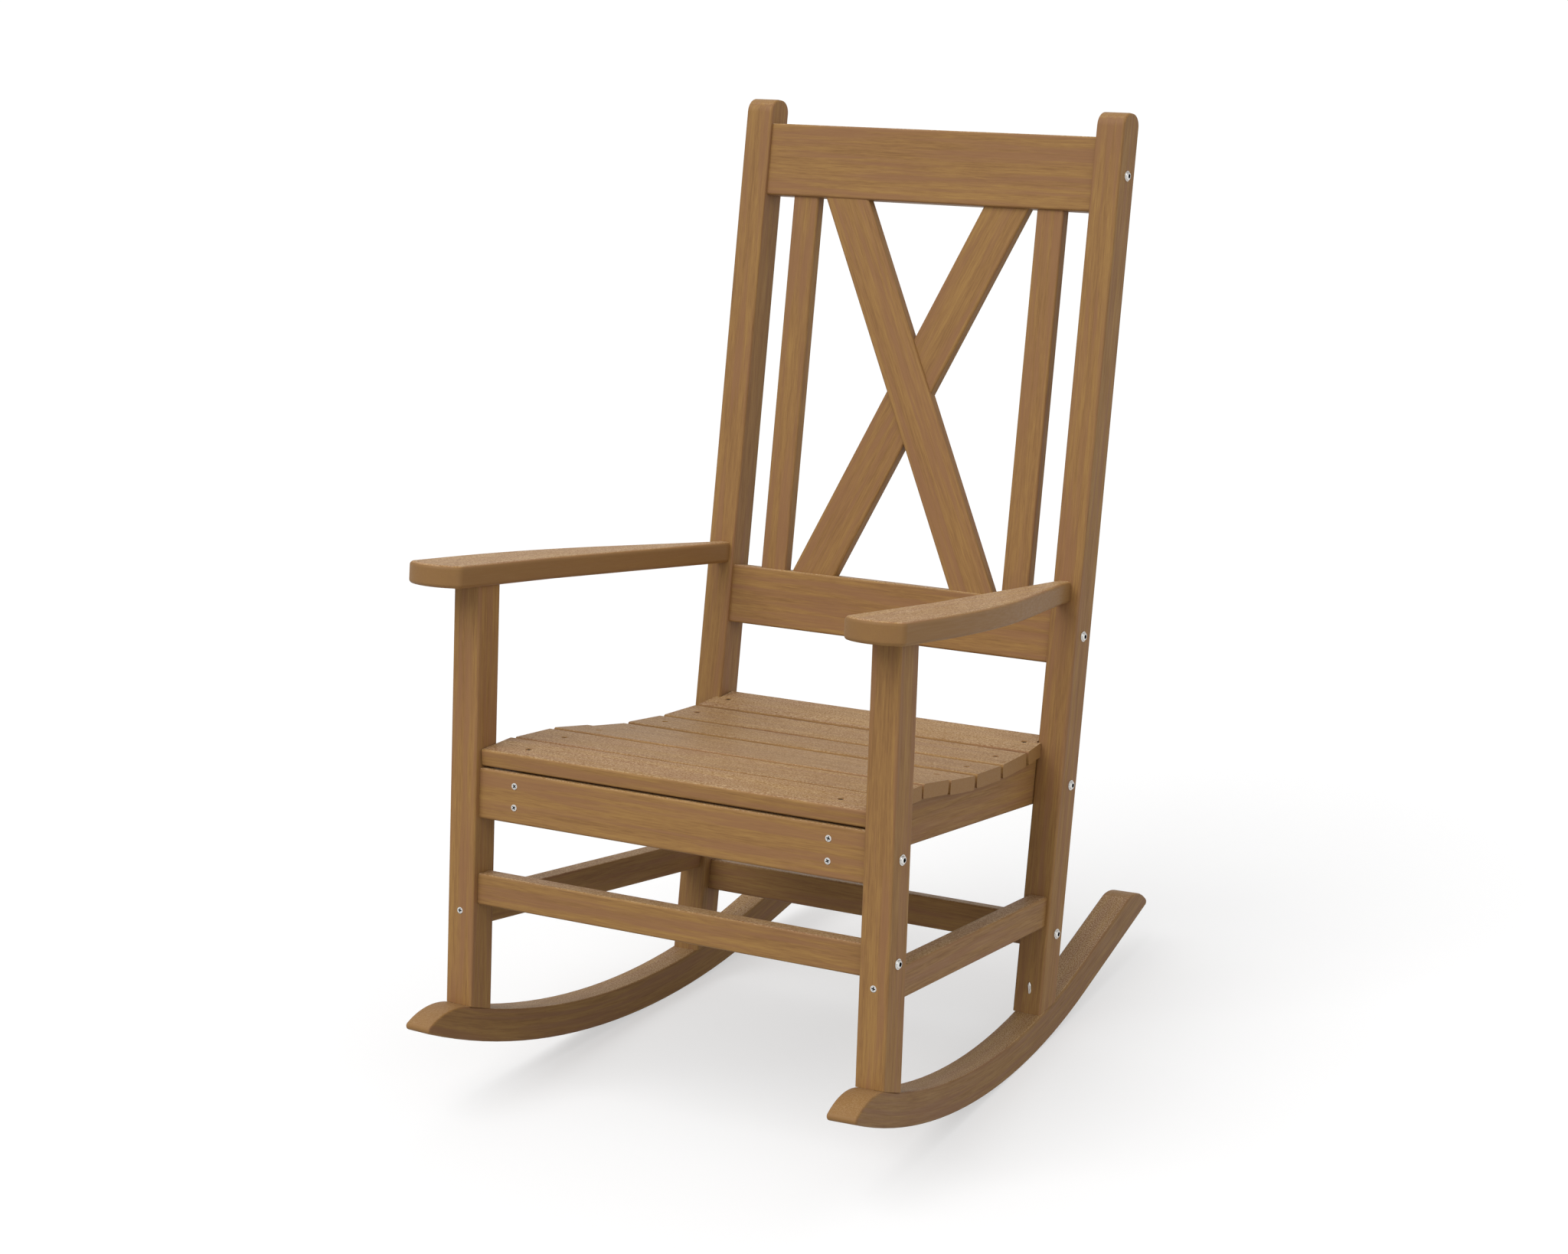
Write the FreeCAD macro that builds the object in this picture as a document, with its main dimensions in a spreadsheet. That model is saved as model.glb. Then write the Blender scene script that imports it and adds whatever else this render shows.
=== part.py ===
import FreeCAD, Part
import math
import os
import Sketcher

from FreeCAD import Placement, Rotation, Vector

# %% Driving dimensions
# Millimetres and degrees. "chair frame" means the chair stood upright: the front legs' front faces
# are at y = 0, the middle is at x = 0, and z = 0 is where the rockers' top meets those faces.
SIZES = {
    "rest_tilt": 9.45,
    "origin_back": 357.17,
    "edge_round": 3.0,
    "overrun": 30.0,
    "cut_reach": 240.0,
    "toe_in_angle": 4.47,
    "leg_width": 38.1,
    "leg_depth": 41.6,
    "leg_inner": 269.5,
    "post_inner": 233.8,
    "post_start": 446.56,
    "post_lean_angle": 6.0,
    "post_length": 1104.0,
    "post_front_round": 18.0,
    "post_back_round": 16.0,
    "rocker_radius": 961.3,
    "rocker_centre_back": 250.6,
    "rocker_depth": 41.0,
    "rocker_low": -72.7,
    "rocker_straight_start": 587.0,
    "rocker_straight_length": 223.0,
    "toe_top_back": 5.0,
    "toe_tip_back": -76.0,
    "heel_taper": 57.0,
    "heel_bulge": 8.5,
    "heel_blend_round": 45.0,
    "rocker_tip_round": 5.0,
    "arm_height": 543.45,
    "arm_fall_angle": 2.11,
    "arm_thick": 27.1,
    "arm_round": 5.0,
    "arm_front": 47.0,
    "arm_front_bulge": 15.3,
    "arm_inner_front": 261.0,
    "arm_inner_back": 240.0,
    "arm_outer_front": 339.0,
    "arm_outer_back": 260.0,
    "arm_inner_bend_back": 140.0,
    "arm_front_bend_back": 172.0,
    "arm_rear_bend_back": 486.0,
    "arm_corner_round": 10.0,
    "arm_inner_bend_round": 600.0,
    "arm_front_bend_round": 1200.0,
    "arm_rear_bend_round": 120.0,
    "rail_board": 25.4,
    "apron_back": 8.1,
    "apron_low": 234.0,
    "apron_high": 295.4,
    "stretcher_tall": 38.1,
    "front_stretcher_back": 8.0,
    "front_stretcher_low": 128.0,
    "side_stretcher_low": 98.4,
    "side_stretcher_inset": 6.35,
    "seat_rail_thick": 31.75,
    "seat_rail_low": 246.0,
    "slat_thick": 17.5,
    "first_slat_thick": 20.4,
    "slat_width": 68.0,
    "first_slat_width": 60.3,
    "slat_pitch": 73.5,
    "slat_first_back": 34.5,
    "slat_leg_gap": 1.0,
    "slat_overhang": 5.0,
    "slat_notch_gap": 1.5,
    "seat_height_1": 321.0,
    "seat_height_2": 325.1,
    "seat_height_3": 323.6,
    "seat_height_4": 316.0,
    "seat_height_5": 314.0,
    "seat_height_6": 316.0,
    "seat_height_7": 323.5,
    "seat_tilt_1": 7.0,
    "seat_tilt_2": 1.5,
    "seat_tilt_3": -4.8,
    "seat_tilt_4": -4.5,
    "seat_tilt_5": -0.5,
    "seat_tilt_6": 3.5,
    "seat_tilt_7": 8.5,
    "back_rail_set_back": 5.0,
    "back_rail_thick": 31.75,
    "top_rail_drop": 31.5,
    "top_rail_tall": 91.9,
    "lower_rail_low": 424.5,
    "lower_rail_tall": 75.0,
    "back_slat_brace_gap": 12.3,
    "back_slat_wide": 37.1,
    "back_slat_thick": 16.6,
    "back_slat_set_back": 9.3,
    "tenon": 10.0,
    "brace_foot_splay": 2.8,
    "brace_high_reach": 145.8,
    "brace_level_width": 63.6,
    "brace_thick": 15.5,
    "brace_front_set_back": 7.0,
    "brace_rear_set_back": 10.6,
    "low_rail_set_back": 12.3,
    "rear_stretcher_low": 71.5,
    "rear_stretcher_tall": 39.0,
    "bolt_head": 12.9,
    "bolt_head_tall": 3.4,
    "bolt_crown": 6.4,
    "bolt_shoulder": 10.8,
    "bolt_shoulder_tall": 1.4,
    "bolt_washer_tall": 0.9,
    "bolt_shank": 6.35,
    "bolt_grip": 45.0,
    "bolt_socket": 4.0,
    "bolt_socket_deep": 2.2,
    "screw_head": 8.0,
    "screw_shank": 4.2,
    "screw_sink": 2.4,
    "screw_cross": 4.6,
    "screw_cross_wide": 0.9,
    "screw_cross_deep": 1.6,
    "slat_screw_long": 38.0,
    "slat_screw_across": 217.6,
    "apron_screw_long": 50.0,
    "apron_screw_across": 218.4,
    "apron_screw_low": 252.5,
    "apron_screw_high": 278.6,
    "leg_screw_long": 66.0,
    "leg_screw_across": 289.1,
    "leg_screw_high": 117.8,
    "rail_screw_long": 55.0,
    "rail_screw_high_1": 262.0,
    "rail_screw_high_2": 281.0,
    "rocker_screw_long": 80.0,
    "brace_screw_long": 12.0,
    "dowel_round": 8.0,
    "dowel_long": 60.0,
    "dowel_in_arm": 20.0,
    "apron_bolt_back": 21.1,
    "apron_bolt_up": 31.8,
    "front_stretcher_bolt_back": 21.1,
    "front_stretcher_bolt_up": 18.3,
    "top_rail_bolt_up": 46.8,
    "lower_rail_bolt_up": 36.8,
    "seat_rail_bolt_up": 27.5,
    "rear_stretcher_bolt_up": 18.6,
    "back_rail_bolt_back": 20.3,
    "low_rail_bolt_back": 25.0,
}
SLAT_COUNT = 7
BOARD_CORNERS = 4
HEXAGON_SIDES = 6
FULL_TURN = 360
# Tests of places and directions in the finished shapes allow for this much rounding of numbers.
SAME_PLACE = 0.01
SAME_DIRECTION = 1e-6
NEARLY_SAME_SHARE = 0.999

doc = FreeCAD.newDocument("RockingChair")
sheet = doc.addObject("Spreadsheet::Sheet", "dims")
for row, (name, number) in enumerate(SIZES.items(), start=1):
    cell = "A%d" % row
    sheet.set(cell, str(number))
    sheet.setAlias(cell, name)
doc.recompute()


class SheetValues:
    """Reads the sheet's cells by alias."""

    def __getattr__(self, name):
        return float(sheet.get(name))


dims = SheetValues()
X_AXIS = Vector(1, 0, 0)
Y_AXIS = Vector(0, 1, 0)
Z_AXIS = Vector(0, 0, 1)
AXES = (X_AXIS, Y_AXIS, Z_AXIS)


# %% Frames
def tangent(degrees):
    return math.tan(math.radians(degrees))


def sine(degrees):
    return math.sin(math.radians(degrees))


def cosine(degrees):
    return math.cos(math.radians(degrees))


def turned(axis, degrees, base=Vector()):
    return Placement(base, Rotation(axis, degrees))


def rocker_centre_height():
    return dims.rocker_low + dims.rocker_radius


def floor_drop():
    """How far the lowest point of the rocked chair lies below the chair frame's origin."""
    contact = math.atan(tangent(dims.rest_tilt) * cosine(dims.toe_in_angle))
    along = dims.rocker_centre_back + dims.rocker_radius * math.sin(contact)
    height = rocker_centre_height() - dims.rocker_radius * math.cos(contact)
    back = dims.leg_depth / 2 + (along - dims.leg_depth / 2) * cosine(dims.toe_in_angle)
    rounded_off = dims.edge_round * sine(dims.toe_in_angle) * sine(dims.rest_tilt)
    return back * sine(dims.rest_tilt) - height * cosine(dims.rest_tilt) - rounded_off


# The chair rocked back to where it comes to rest, standing on z = 0.
REST = turned(X_AXIS, -dims.rest_tilt, Vector(0, -dims.origin_back, floor_drop()))
# The back's frame: z runs up the posts' front faces and y goes into them.
BACK = turned(X_AXIS, -dims.post_lean_angle, Vector(0, dims.post_start, 0))
# The arms' frame: its XY plane is the arms' top.
ARM = turned(X_AXIS, -dims.arm_fall_angle, Vector(0, 0, dims.arm_height))


def side_frame(side):
    """Toed-in frame of one side: x = 0 is the outer face of the leg and the rocker."""
    pivot = Vector(side * (dims.leg_inner + dims.leg_width), dims.leg_depth / 2, 0)
    back_to_origin = Placement(Vector(0, -dims.leg_depth / 2, 0), Rotation())
    return turned(Z_AXIS, side * dims.toe_in_angle, pivot).multiply(back_to_origin)


def put(piece, place):
    piece.Placement = REST.multiply(place)


# %% Sketch and feature helpers
def new_body(label):
    body = doc.addObject("PartDesign::Body", "Body_" + label)
    body.Label = label
    return body


def origin_plane(body, role):
    for feature in body.Origin.OriginFeatures:
        if feature.Role == role:
            return feature
    raise ValueError(role)


def new_sketch(body, name, role, offset=None):
    sketch = body.newObject("Sketcher::SketchObject", body.Label + "_" + name)
    sketch.AttachmentSupport = [(origin_plane(body, role), "")]
    sketch.MapMode = "FlatFace"
    if offset is not None:
        sketch.AttachmentOffset = offset
    return sketch


def number_of(size):
    """The value of a size given as a number or as an expression on the sheet."""
    if isinstance(size, str):
        return float(sheet.evalExpression(size))
    return float(size)


def fix_point(sketch, geometry, place, point):
    """Holds a point of a sketch at two sizes, bound to the sheet where they are expressions."""
    for kind, size in zip(("DistanceX", "DistanceY"), point):
        index = sketch.addConstraint(Sketcher.Constraint(kind, geometry, place, number_of(size)))
        if isinstance(size, str):
            sketch.setExpression("Constraints[%d]" % index, size)


def outline(body, name, role, points, offset=None):
    """A closed sketch of straight lines with every corner held."""
    sketch = new_sketch(body, name, role, offset)
    corners = [Vector(number_of(across), number_of(up), 0) for across, up in points]
    count = len(corners)
    for index in range(count):
        sketch.addGeometry(Part.LineSegment(corners[index], corners[(index + 1) % count]), False)
    for index in range(count):
        sketch.addConstraint(Sketcher.Constraint("Coincident", index, 2, (index + 1) % count, 1))
    for index in range(count):
        fix_point(sketch, index, 1, points[index])
    return sketch


def drawn(body, name, role, geometry):
    """A closed sketch of given lines and arcs, each held where it is."""
    sketch = new_sketch(body, name, role)
    sketch.addGeometry(geometry, False)
    for index in range(len(geometry)):
        sketch.addConstraint(Sketcher.Constraint("Block", index))
    return sketch


def rectangle(body, name, role, left, low, right, high, offset=None):
    corners = [(left, low), (right, low), (right, high), (left, high)]
    return outline(body, name, role, corners, offset)


def pad(body, sketch, length, flip=False):
    feature = body.newObject("PartDesign::Pad", sketch.Name + "_pad")
    feature.Profile = sketch
    feature.Length = number_of(length)
    if isinstance(length, str):
        feature.setExpression("Length", length)
    feature.Reversed = flip
    sketch.Visibility = False
    doc.recompute()
    return feature


def cut_through(body, sketch):
    """Pockets a sketch through everything on both its sides and checks that it took something."""
    before = body.Shape.Volume
    feature = body.newObject("PartDesign::Pocket", sketch.Name + "_cut")
    feature.Profile = sketch
    feature.Type = "ThroughAll"
    feature.SideType = "Symmetric"
    doc.recompute()
    if not body.Shape.Volume < before:
        raise ValueError(body.Label + " lost nothing to " + sketch.Name)
    return feature


def round_edges(body, name, wanted, radius):
    """Rounds the edges of a body for which wanted(edge) holds."""
    base = body.Tip
    names = ["Edge%d" % (index + 1) for index, edge in enumerate(base.Shape.Edges) if wanted(edge)]
    feature = body.newObject("PartDesign::Fillet", body.Label + "_" + name)
    feature.Base = (base, names)
    feature.Radius = number_of(radius)
    feature.setExpression("Radius", radius)
    doc.recompute()
    return feature


def runs_along(axis):
    """Test for straight edges that run along an axis of the body."""

    def test(edge):
        if not isinstance(edge.Curve, Part.Line):
            return False
        return abs(abs(edge.Curve.Direction.dot(axis)) - 1) < SAME_DIRECTION

    return test


def longest_edges(body, count):
    lengths = sorted((edge.Length for edge in body.Tip.Shape.Edges), reverse=True)
    limit = lengths[count - 1] * NEARLY_SAME_SHARE
    return lambda edge: edge.Length >= limit


def stands_at(axis_index, spot):
    """Test for the upright edge at a given place of the outline."""
    upright = runs_along(AXES[axis_index])
    across, up = [index for index in range(len(AXES)) if index != axis_index]

    def test(edge):
        middle = edge.CenterOfMass
        return upright(edge) and math.hypot(middle[across] - spot[0], middle[up] - spot[1]) < SAME_PLACE

    return test


def on_faces(axis_index, thick):
    """Test for the edges that lie in the two faces of a pad of a given thickness."""

    def test(edge):
        first, last = edge.ParameterRange
        levels = [abs(edge.valueAt(at)[axis_index]) for at in (first, (first + last) / 2, last)]
        return max(levels) < SAME_PLACE or max(abs(level - thick) for level in levels) < SAME_PLACE

    return test


def board(label, role, rectangle_sizes, length, axis, place, flip=False):
    """A straight board: a rectangle made long, with its long edges rounded."""
    body = new_body(label)
    sketch = rectangle(body, "section", role, *rectangle_sizes)
    pad(body, sketch, length, flip)
    round_edges(body, "edges", runs_along(axis), "dims.edge_round")
    put(body, place)
    return body


def offset_in_body(place, frame):
    """Attachment offset that puts a sketch on the body's YZ plane into another frame's YZ plane."""
    plane = Placement(Vector(), Rotation(Vector(0, 1, 0), Z_AXIS, X_AXIS, "ZXY"))
    return plane.inverse().multiply(place.inverse()).multiply(frame).multiply(plane)


# In the back's frame: what is cut off a piece that ends at the posts' front faces.
BEHIND_POST_FACE = [(0, "-dims.cut_reach"), ("dims.cut_reach", "-dims.cut_reach"),
                    ("dims.cut_reach", "dims.post_length"), (0, "dims.post_length")]


def post_face(height):
    """Place of the posts' front faces at a height."""
    return dims.post_start + height * tangent(dims.post_lean_angle)


def cut_foot(body, place, side):
    """Cuts a leg's or post's foot to the rocker's top."""
    sketch = new_sketch(body, "foot", "YZ_Plane", offset_in_body(place, side_frame(side)))
    centre = Vector(dims.rocker_centre_back, rocker_centre_height(), 0)
    radii = ("dims.rocker_radius - dims.rocker_depth", "dims.rocker_radius + dims.cut_reach")
    for index, radius in enumerate(radii):
        sketch.addGeometry(Part.Circle(centre, Z_AXIS, number_of(radius)), False)
        fix_point(sketch, index, 3, ("dims.rocker_centre_back", "dims.rocker_low + dims.rocker_radius"))
        held = sketch.addConstraint(Sketcher.Constraint("Radius", index, number_of(radius)))
        sketch.setExpression("Constraints[%d]" % held, radius)
    cut_through(body, sketch)


# %% Rockers
def rocker(side, label):
    body = new_body(label)
    centre = Vector(dims.rocker_centre_back, rocker_centre_height(), 0)

    def on_ring(radius, back):
        return Vector(back, centre.y - math.sqrt(radius ** 2 - (back - centre.x) ** 2), 0)

    def ring_middle(radius, start, end):
        return on_ring(radius, (start.x + end.x) / 2)

    top_radius = dims.rocker_radius - dims.rocker_depth
    climb = math.asin((dims.rocker_straight_start - centre.x) / dims.rocker_radius)
    along = Vector(math.cos(climb), math.sin(climb), 0)
    inward = Vector(-math.sin(climb), math.cos(climb), 0)
    tip = on_ring(dims.rocker_radius, dims.toe_tip_back)
    straight = on_ring(dims.rocker_radius, dims.rocker_straight_start)
    heel = straight + along * dims.rocker_straight_length
    heel_top = heel - along * dims.heel_taper + inward * dims.rocker_depth
    top_straight = straight + inward * dims.rocker_depth
    toe_top = on_ring(top_radius, dims.toe_top_back)

    def bulged(start, finish, bulge):
        """A rounded end of the rocker, which stands out from the line between two points."""
        out = Vector(finish.y - start.y, start.x - finish.x, 0).normalize()
        return Part.Arc(start, (start + finish) / 2 + out * bulge, finish)

    def smooth_toe():
        """The toe's arc carries on from the rocker's top without a kink."""
        from_centre = toe_top - centre
        forward = Vector(from_centre.y, -from_centre.x, 0)
        fall = tip - toe_top
        return bulged(toe_top, tip, fall.Length / 2 * math.tan(forward.getAngle(fall) / 2))

    sketch = drawn(body, "profile", "YZ_Plane", [
        Part.Arc(tip, ring_middle(dims.rocker_radius, tip, straight), straight),
        Part.LineSegment(straight, heel),
        bulged(heel, heel_top, dims.heel_bulge),
        Part.LineSegment(heel_top, top_straight),
        Part.Arc(top_straight, ring_middle(top_radius, top_straight, toe_top), toe_top),
        smooth_toe(),
    ])
    pad(body, sketch, "dims.leg_width", flip=side > 0)
    for name, spot in (("toe_tip", tip), ("heel_tip", heel)):
        round_edges(body, name, stands_at(0, spot), "dims.rocker_tip_round")
    round_edges(body, "heel_top", stands_at(0, heel_top), "dims.heel_blend_round")
    round_edges(body, "edges", on_faces(0, dims.leg_width), "dims.edge_round")
    put(body, side_frame(side))
    return body


# %% Legs and posts
def arm_underside(back):
    """Height of the arms' underside above a place on the floor line."""
    drop = dims.arm_thick / cosine(dims.arm_fall_angle)
    return dims.arm_height - drop - back * tangent(dims.arm_fall_angle)


def front_leg(side, label):
    body = new_body(label)
    low = "-dims.overrun"
    corners = [(0, low), ("dims.leg_depth", low), ("dims.leg_depth", arm_underside(dims.leg_depth)),
               (0, arm_underside(0))]
    sketch = outline(body, "profile", "YZ_Plane", corners)
    pad(body, sketch, "dims.leg_width", flip=side < 0)
    round_edges(body, "edges", longest_edges(body, BOARD_CORNERS), "dims.edge_round")
    place = Placement(Vector(side * dims.leg_inner, 0, 0), Rotation())
    cut_foot(body, place, side)
    put(body, place)
    return body


def back_post(side, label):
    body = new_body(label)
    sketch = rectangle(body, "profile", "YZ_Plane", 0, "-dims.overrun", "dims.leg_depth", "dims.post_length")
    pad(body, sketch, "dims.leg_width", flip=side < 0)
    back_top = (dims.leg_depth, dims.post_length)
    round_edges(body, "front_top", stands_at(0, (0, dims.post_length)), "dims.post_front_round")
    round_edges(body, "back_top", stands_at(0, back_top), "dims.post_back_round")
    round_edges(body, "edges", on_faces(0, dims.leg_width), "dims.edge_round")
    inward = Placement(Vector(side * dims.post_inner, 0, 0), Rotation())
    place = BACK.multiply(inward)
    cut_foot(body, place, side)
    put(body, place)
    return body


# %% Arms
def rounded_path(corners, radii):
    """Lines from the first corner to the last, with an arc where a corner between has a radius."""
    path = []
    start = corners[0]
    for before, corner, after, radius in zip(corners, corners[1:], corners[2:], radii):
        if radius == 0:
            path.append(Part.LineSegment(start, corner))
            start = corner
            continue
        back = (before - corner).normalize()
        on = (after - corner).normalize()
        half = back.getAngle(on) / 2
        reach = radius / math.tan(half)
        inward = (back + on).normalize() * (radius / math.sin(half) - radius)
        path.append(Part.LineSegment(start, corner + back * reach))
        start = corner + on * reach
        path.append(Part.Arc(corner + back * reach, corner + inward, start))
    path.append(Part.LineSegment(start, corners[-1]))
    return path


def arm(side, label):
    """An S-shaped board with a bowed front end, cut off at the post's face."""
    body = new_body(label)
    front = -dims.arm_front
    rear = dims.arm_rear_bend_back
    end = post_face(dims.arm_height) + dims.overrun
    slope = (dims.arm_inner_back - dims.arm_inner_front) / (rear - dims.arm_inner_bend_back)
    middle = side * (dims.arm_inner_front + dims.arm_outer_front) / 2
    plan = [
        (dims.arm_outer_front, front),
        (dims.arm_outer_front, dims.arm_front_bend_back),
        (dims.arm_outer_back, rear),
        (dims.arm_outer_back + slope * (end - rear), end),
        (dims.arm_inner_back + slope * (end - rear), end),
        (dims.arm_inner_front, dims.arm_inner_bend_back),
        (dims.arm_inner_front, front),
    ]
    corners = [Vector(side * across, back, 0) for across, back in plan]
    radii = (dims.arm_front_bend_round, dims.arm_rear_bend_round, 0, 0, dims.arm_inner_bend_round)
    bow = Part.Arc(corners[-1], Vector(middle, front - dims.arm_front_bulge, 0), corners[0])
    sketch = drawn(body, "plan", "XY_Plane", rounded_path(corners, radii) + [bow])
    pad(body, sketch, "dims.arm_thick", flip=True)
    for name, corner in (("outer_corner", corners[0]), ("inner_corner", corners[-1])):
        round_edges(body, name, stands_at(2, corner), "dims.arm_corner_round")
    in_faces = on_faces(2, dims.arm_thick)
    across_end = runs_along(X_AXIS)
    round_edges(body, "edges", lambda edge: in_faces(edge) and not across_end(edge), "dims.arm_round")
    cut = outline(body, "rear_end", "YZ_Plane", BEHIND_POST_FACE, offset_in_body(ARM, BACK))
    cut_through(body, cut)
    put(body, ARM)
    return body


# %% Back
TOP_RAIL_HIGH = "(dims.post_length - dims.top_rail_drop)"
TOP_RAIL_LOW = "(dims.post_length - dims.top_rail_drop - dims.top_rail_tall)"
LOWER_RAIL_HIGH = "(dims.lower_rail_low + dims.lower_rail_tall)"


def back_board(label, left, right, set_back, thick, low, high):
    """A board of the back that runs across, between two heights up the posts."""
    sizes = (set_back, low, "(%s) + (%s)" % (set_back, thick), high)
    inward = Placement(Vector(number_of(left), 0, 0), Rotation())
    return board(label, "YZ_Plane", sizes, "(%s) - (%s)" % (right, left), X_AXIS, BACK.multiply(inward))


def across_posts(label, set_back, thick, low, high):
    return back_board(label, "-dims.post_inner", "dims.post_inner", set_back, thick, low, high)


def back_slat(side, label):
    """An upright slat, which stands clear of the crossed brace's widest place."""
    inner = "dims.brace_high_reach + dims.back_slat_brace_gap"
    left = inner if side > 0 else "-(%s) - dims.back_slat_wide" % inner
    right = left + " + dims.back_slat_wide"
    sizes = (left, "dims.back_slat_set_back", right, "dims.back_slat_set_back + dims.back_slat_thick")
    place = BACK.multiply(Placement(Vector(0, 0, number_of(LOWER_RAIL_HIGH) - dims.tenon), Rotation()))
    length = TOP_RAIL_LOW + " - " + LOWER_RAIL_HIGH + " + 2 * dims.tenon"
    return board(label, "XY_Plane", sizes, length, Z_AXIS, place)


def brace_foot_reach():
    """Inner edge of the brace's foot, whose outer edge stands a little outside its other end's."""
    return dims.brace_high_reach + dims.brace_foot_splay - dims.brace_level_width


def brace_line(high):
    """Left edge of the unbroken brace at a height up the posts."""
    foot = number_of(LOWER_RAIL_HIGH)
    share = (high - foot) / (number_of(TOP_RAIL_LOW) - foot)
    return brace_foot_reach() - share * (dims.brace_high_reach + brace_foot_reach())


def brace(lean, label, set_back):
    """One member of the crossed brace, cut level at both rails with tenons into them."""
    body = new_body(label)
    low = number_of(LOWER_RAIL_HIGH) - dims.tenon
    high = number_of(TOP_RAIL_LOW) + dims.tenon
    wide = dims.brace_level_width
    corners = [(brace_line(low), low), (brace_line(low) + wide, low), (brace_line(high) + wide, high),
               (brace_line(high), high)]
    corners = [(lean * across, up) for across, up in corners]
    sketch = outline(body, "face", "XZ_Plane", corners)
    pad(body, sketch, "dims.brace_thick", flip=True)
    round_edges(body, "edges", longest_edges(body, BOARD_CORNERS), "dims.edge_round")
    inward = Placement(Vector(0, number_of(set_back), 0), Rotation())
    put(body, BACK.multiply(inward))
    return body


# %% Seat
def slat_back(number):
    return dims.slat_first_back + (number - 1) * dims.slat_pitch


def slat_height(number):
    return getattr(dims, "seat_height_%d" % number)


def slat_tilt(number):
    return getattr(dims, "seat_tilt_%d" % number)


def slat_thickness(number):
    """The first slat, which meets the apron, is the thickest."""
    return "dims.first_slat_thick" if number == 1 else "dims.slat_thick"


def slat_frame(number):
    """Frame of a seat slat: its screws stand at y = 0 and z = 0 is its top."""
    return turned(X_AXIS, slat_tilt(number), Vector(0, slat_back(number), slat_height(number)))


def slat_edges(number):
    """Front and rear edges of a slat in its own frame."""
    if number == 1:
        front = -(dims.slat_first_back - dims.apron_back) / cosine(slat_tilt(number))
        return front, front + dims.first_slat_width
    return -dims.slat_width / 2, dims.slat_width / 2


def slat_reach(back):
    """Half length of the slats at a place: even between the front legs, then shorter towards the posts."""
    at_leg = dims.leg_inner - dims.slat_leg_gap
    at_post = dims.post_inner + dims.slat_overhang
    run = post_face(slat_height(SLAT_COUNT)) - dims.leg_depth
    return at_leg + (at_post - at_leg) * max(0, back - dims.leg_depth) / run


def slat_underside(number, back):
    """Height of a slat's underside at a place of the chair frame."""
    tilt = slat_tilt(number)
    thick = number_of(slat_thickness(number))
    below = slat_height(number) - thick * cosine(tilt)
    return below + (back - slat_back(number) - thick * sine(tilt)) * tangent(tilt)


def seat_slat(number):
    body = new_body("seat_slat_%d" % number)
    front, rear = slat_edges(number)
    reach_front = slat_reach(slat_back(number) + front)
    reach_rear = slat_reach(slat_back(number) + rear)
    right = [(reach_front, front)]
    if number == SLAT_COUNT:
        notch = post_face(slat_height(number)) - slat_back(number) - dims.slat_notch_gap
        inner = dims.post_inner - dims.slat_notch_gap
        right += [(slat_reach(slat_back(number) + notch), notch), (inner, notch), (inner, rear)]
    else:
        right += [(reach_rear, rear)]
    left = [(-across, back) for across, back in reversed(right)]
    sketch = outline(body, "plan", "XY_Plane", right + left)
    pad(body, sketch, slat_thickness(number), flip=True)
    round_edges(body, "edges", runs_along_far(X_AXIS, dims.post_inner), "dims.edge_round")
    put(body, slat_frame(number))
    return body


def runs_along_far(axis, least):
    """Test for straight edges along an axis that are longer than a length."""
    straight = runs_along(axis)
    return lambda edge: straight(edge) and edge.Length > least


def side_seat_rail(side, label):
    """Carries the slats: its top follows their undersides."""
    body = new_body(label)
    front = dims.apron_back + dims.rail_board
    low = dims.seat_rail_low
    behind = dims.low_rail_set_back / cosine(dims.post_lean_angle)
    top = [(front, slat_underside(1, front))]
    for number in range(1, SLAT_COUNT):
        rear_edge = slat_back(number) + slat_edges(number)[1] * cosine(slat_tilt(number))
        next_edge = slat_back(number + 1) + slat_edges(number + 1)[0] * cosine(slat_tilt(number + 1))
        top.append((rear_edge, slat_underside(number, rear_edge)))
        top.append((next_edge, slat_underside(number + 1, next_edge)))
    end, end_height = under_last_slat(behind)
    top.append((end, end_height))
    bottom = [(post_face(low) + behind, low), (front, low)]
    sketch = outline(body, "profile", "YZ_Plane", top + bottom)
    pad(body, sketch, "dims.seat_rail_thick", flip=side > 0)
    round_edges(body, "edges", runs_along_far(Y_AXIS, dims.slat_width), "dims.edge_round")
    put(body, Placement(Vector(side * dims.post_inner, 0, 0), Rotation()))
    return body


def under_last_slat(behind):
    """Where a line behind and along the posts' front faces meets the last slat's underside."""
    level = slat_underside(SLAT_COUNT, 0)
    rise = tangent(slat_tilt(SLAT_COUNT))
    height = (level + rise * (dims.post_start + behind)) / (1 - rise * tangent(dims.post_lean_angle))
    return post_face(height) + behind, height


def up_the_posts(height):
    """How far up the posts the low rails' front face is at a height."""
    lean = dims.post_lean_angle
    return height / cosine(lean) + dims.low_rail_set_back * tangent(lean)


def rear_seat_rail():
    """Hidden under the last slat, between the posts."""
    behind = dims.low_rail_set_back / cosine(dims.post_lean_angle)
    high = up_the_posts(under_last_slat(behind)[1])
    body = new_body("rear_seat_rail")
    sketch = rectangle(body, "section", "YZ_Plane", "dims.low_rail_set_back", up_the_posts(dims.seat_rail_low),
                       "dims.low_rail_set_back + dims.rail_board", high)
    pad(body, sketch, "2 * dims.post_inner")
    round_edges(body, "edges", runs_along(X_AXIS), "dims.edge_round")
    put(body, BACK.multiply(Placement(Vector(-dims.post_inner, 0, 0), Rotation())))
    return body


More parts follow.
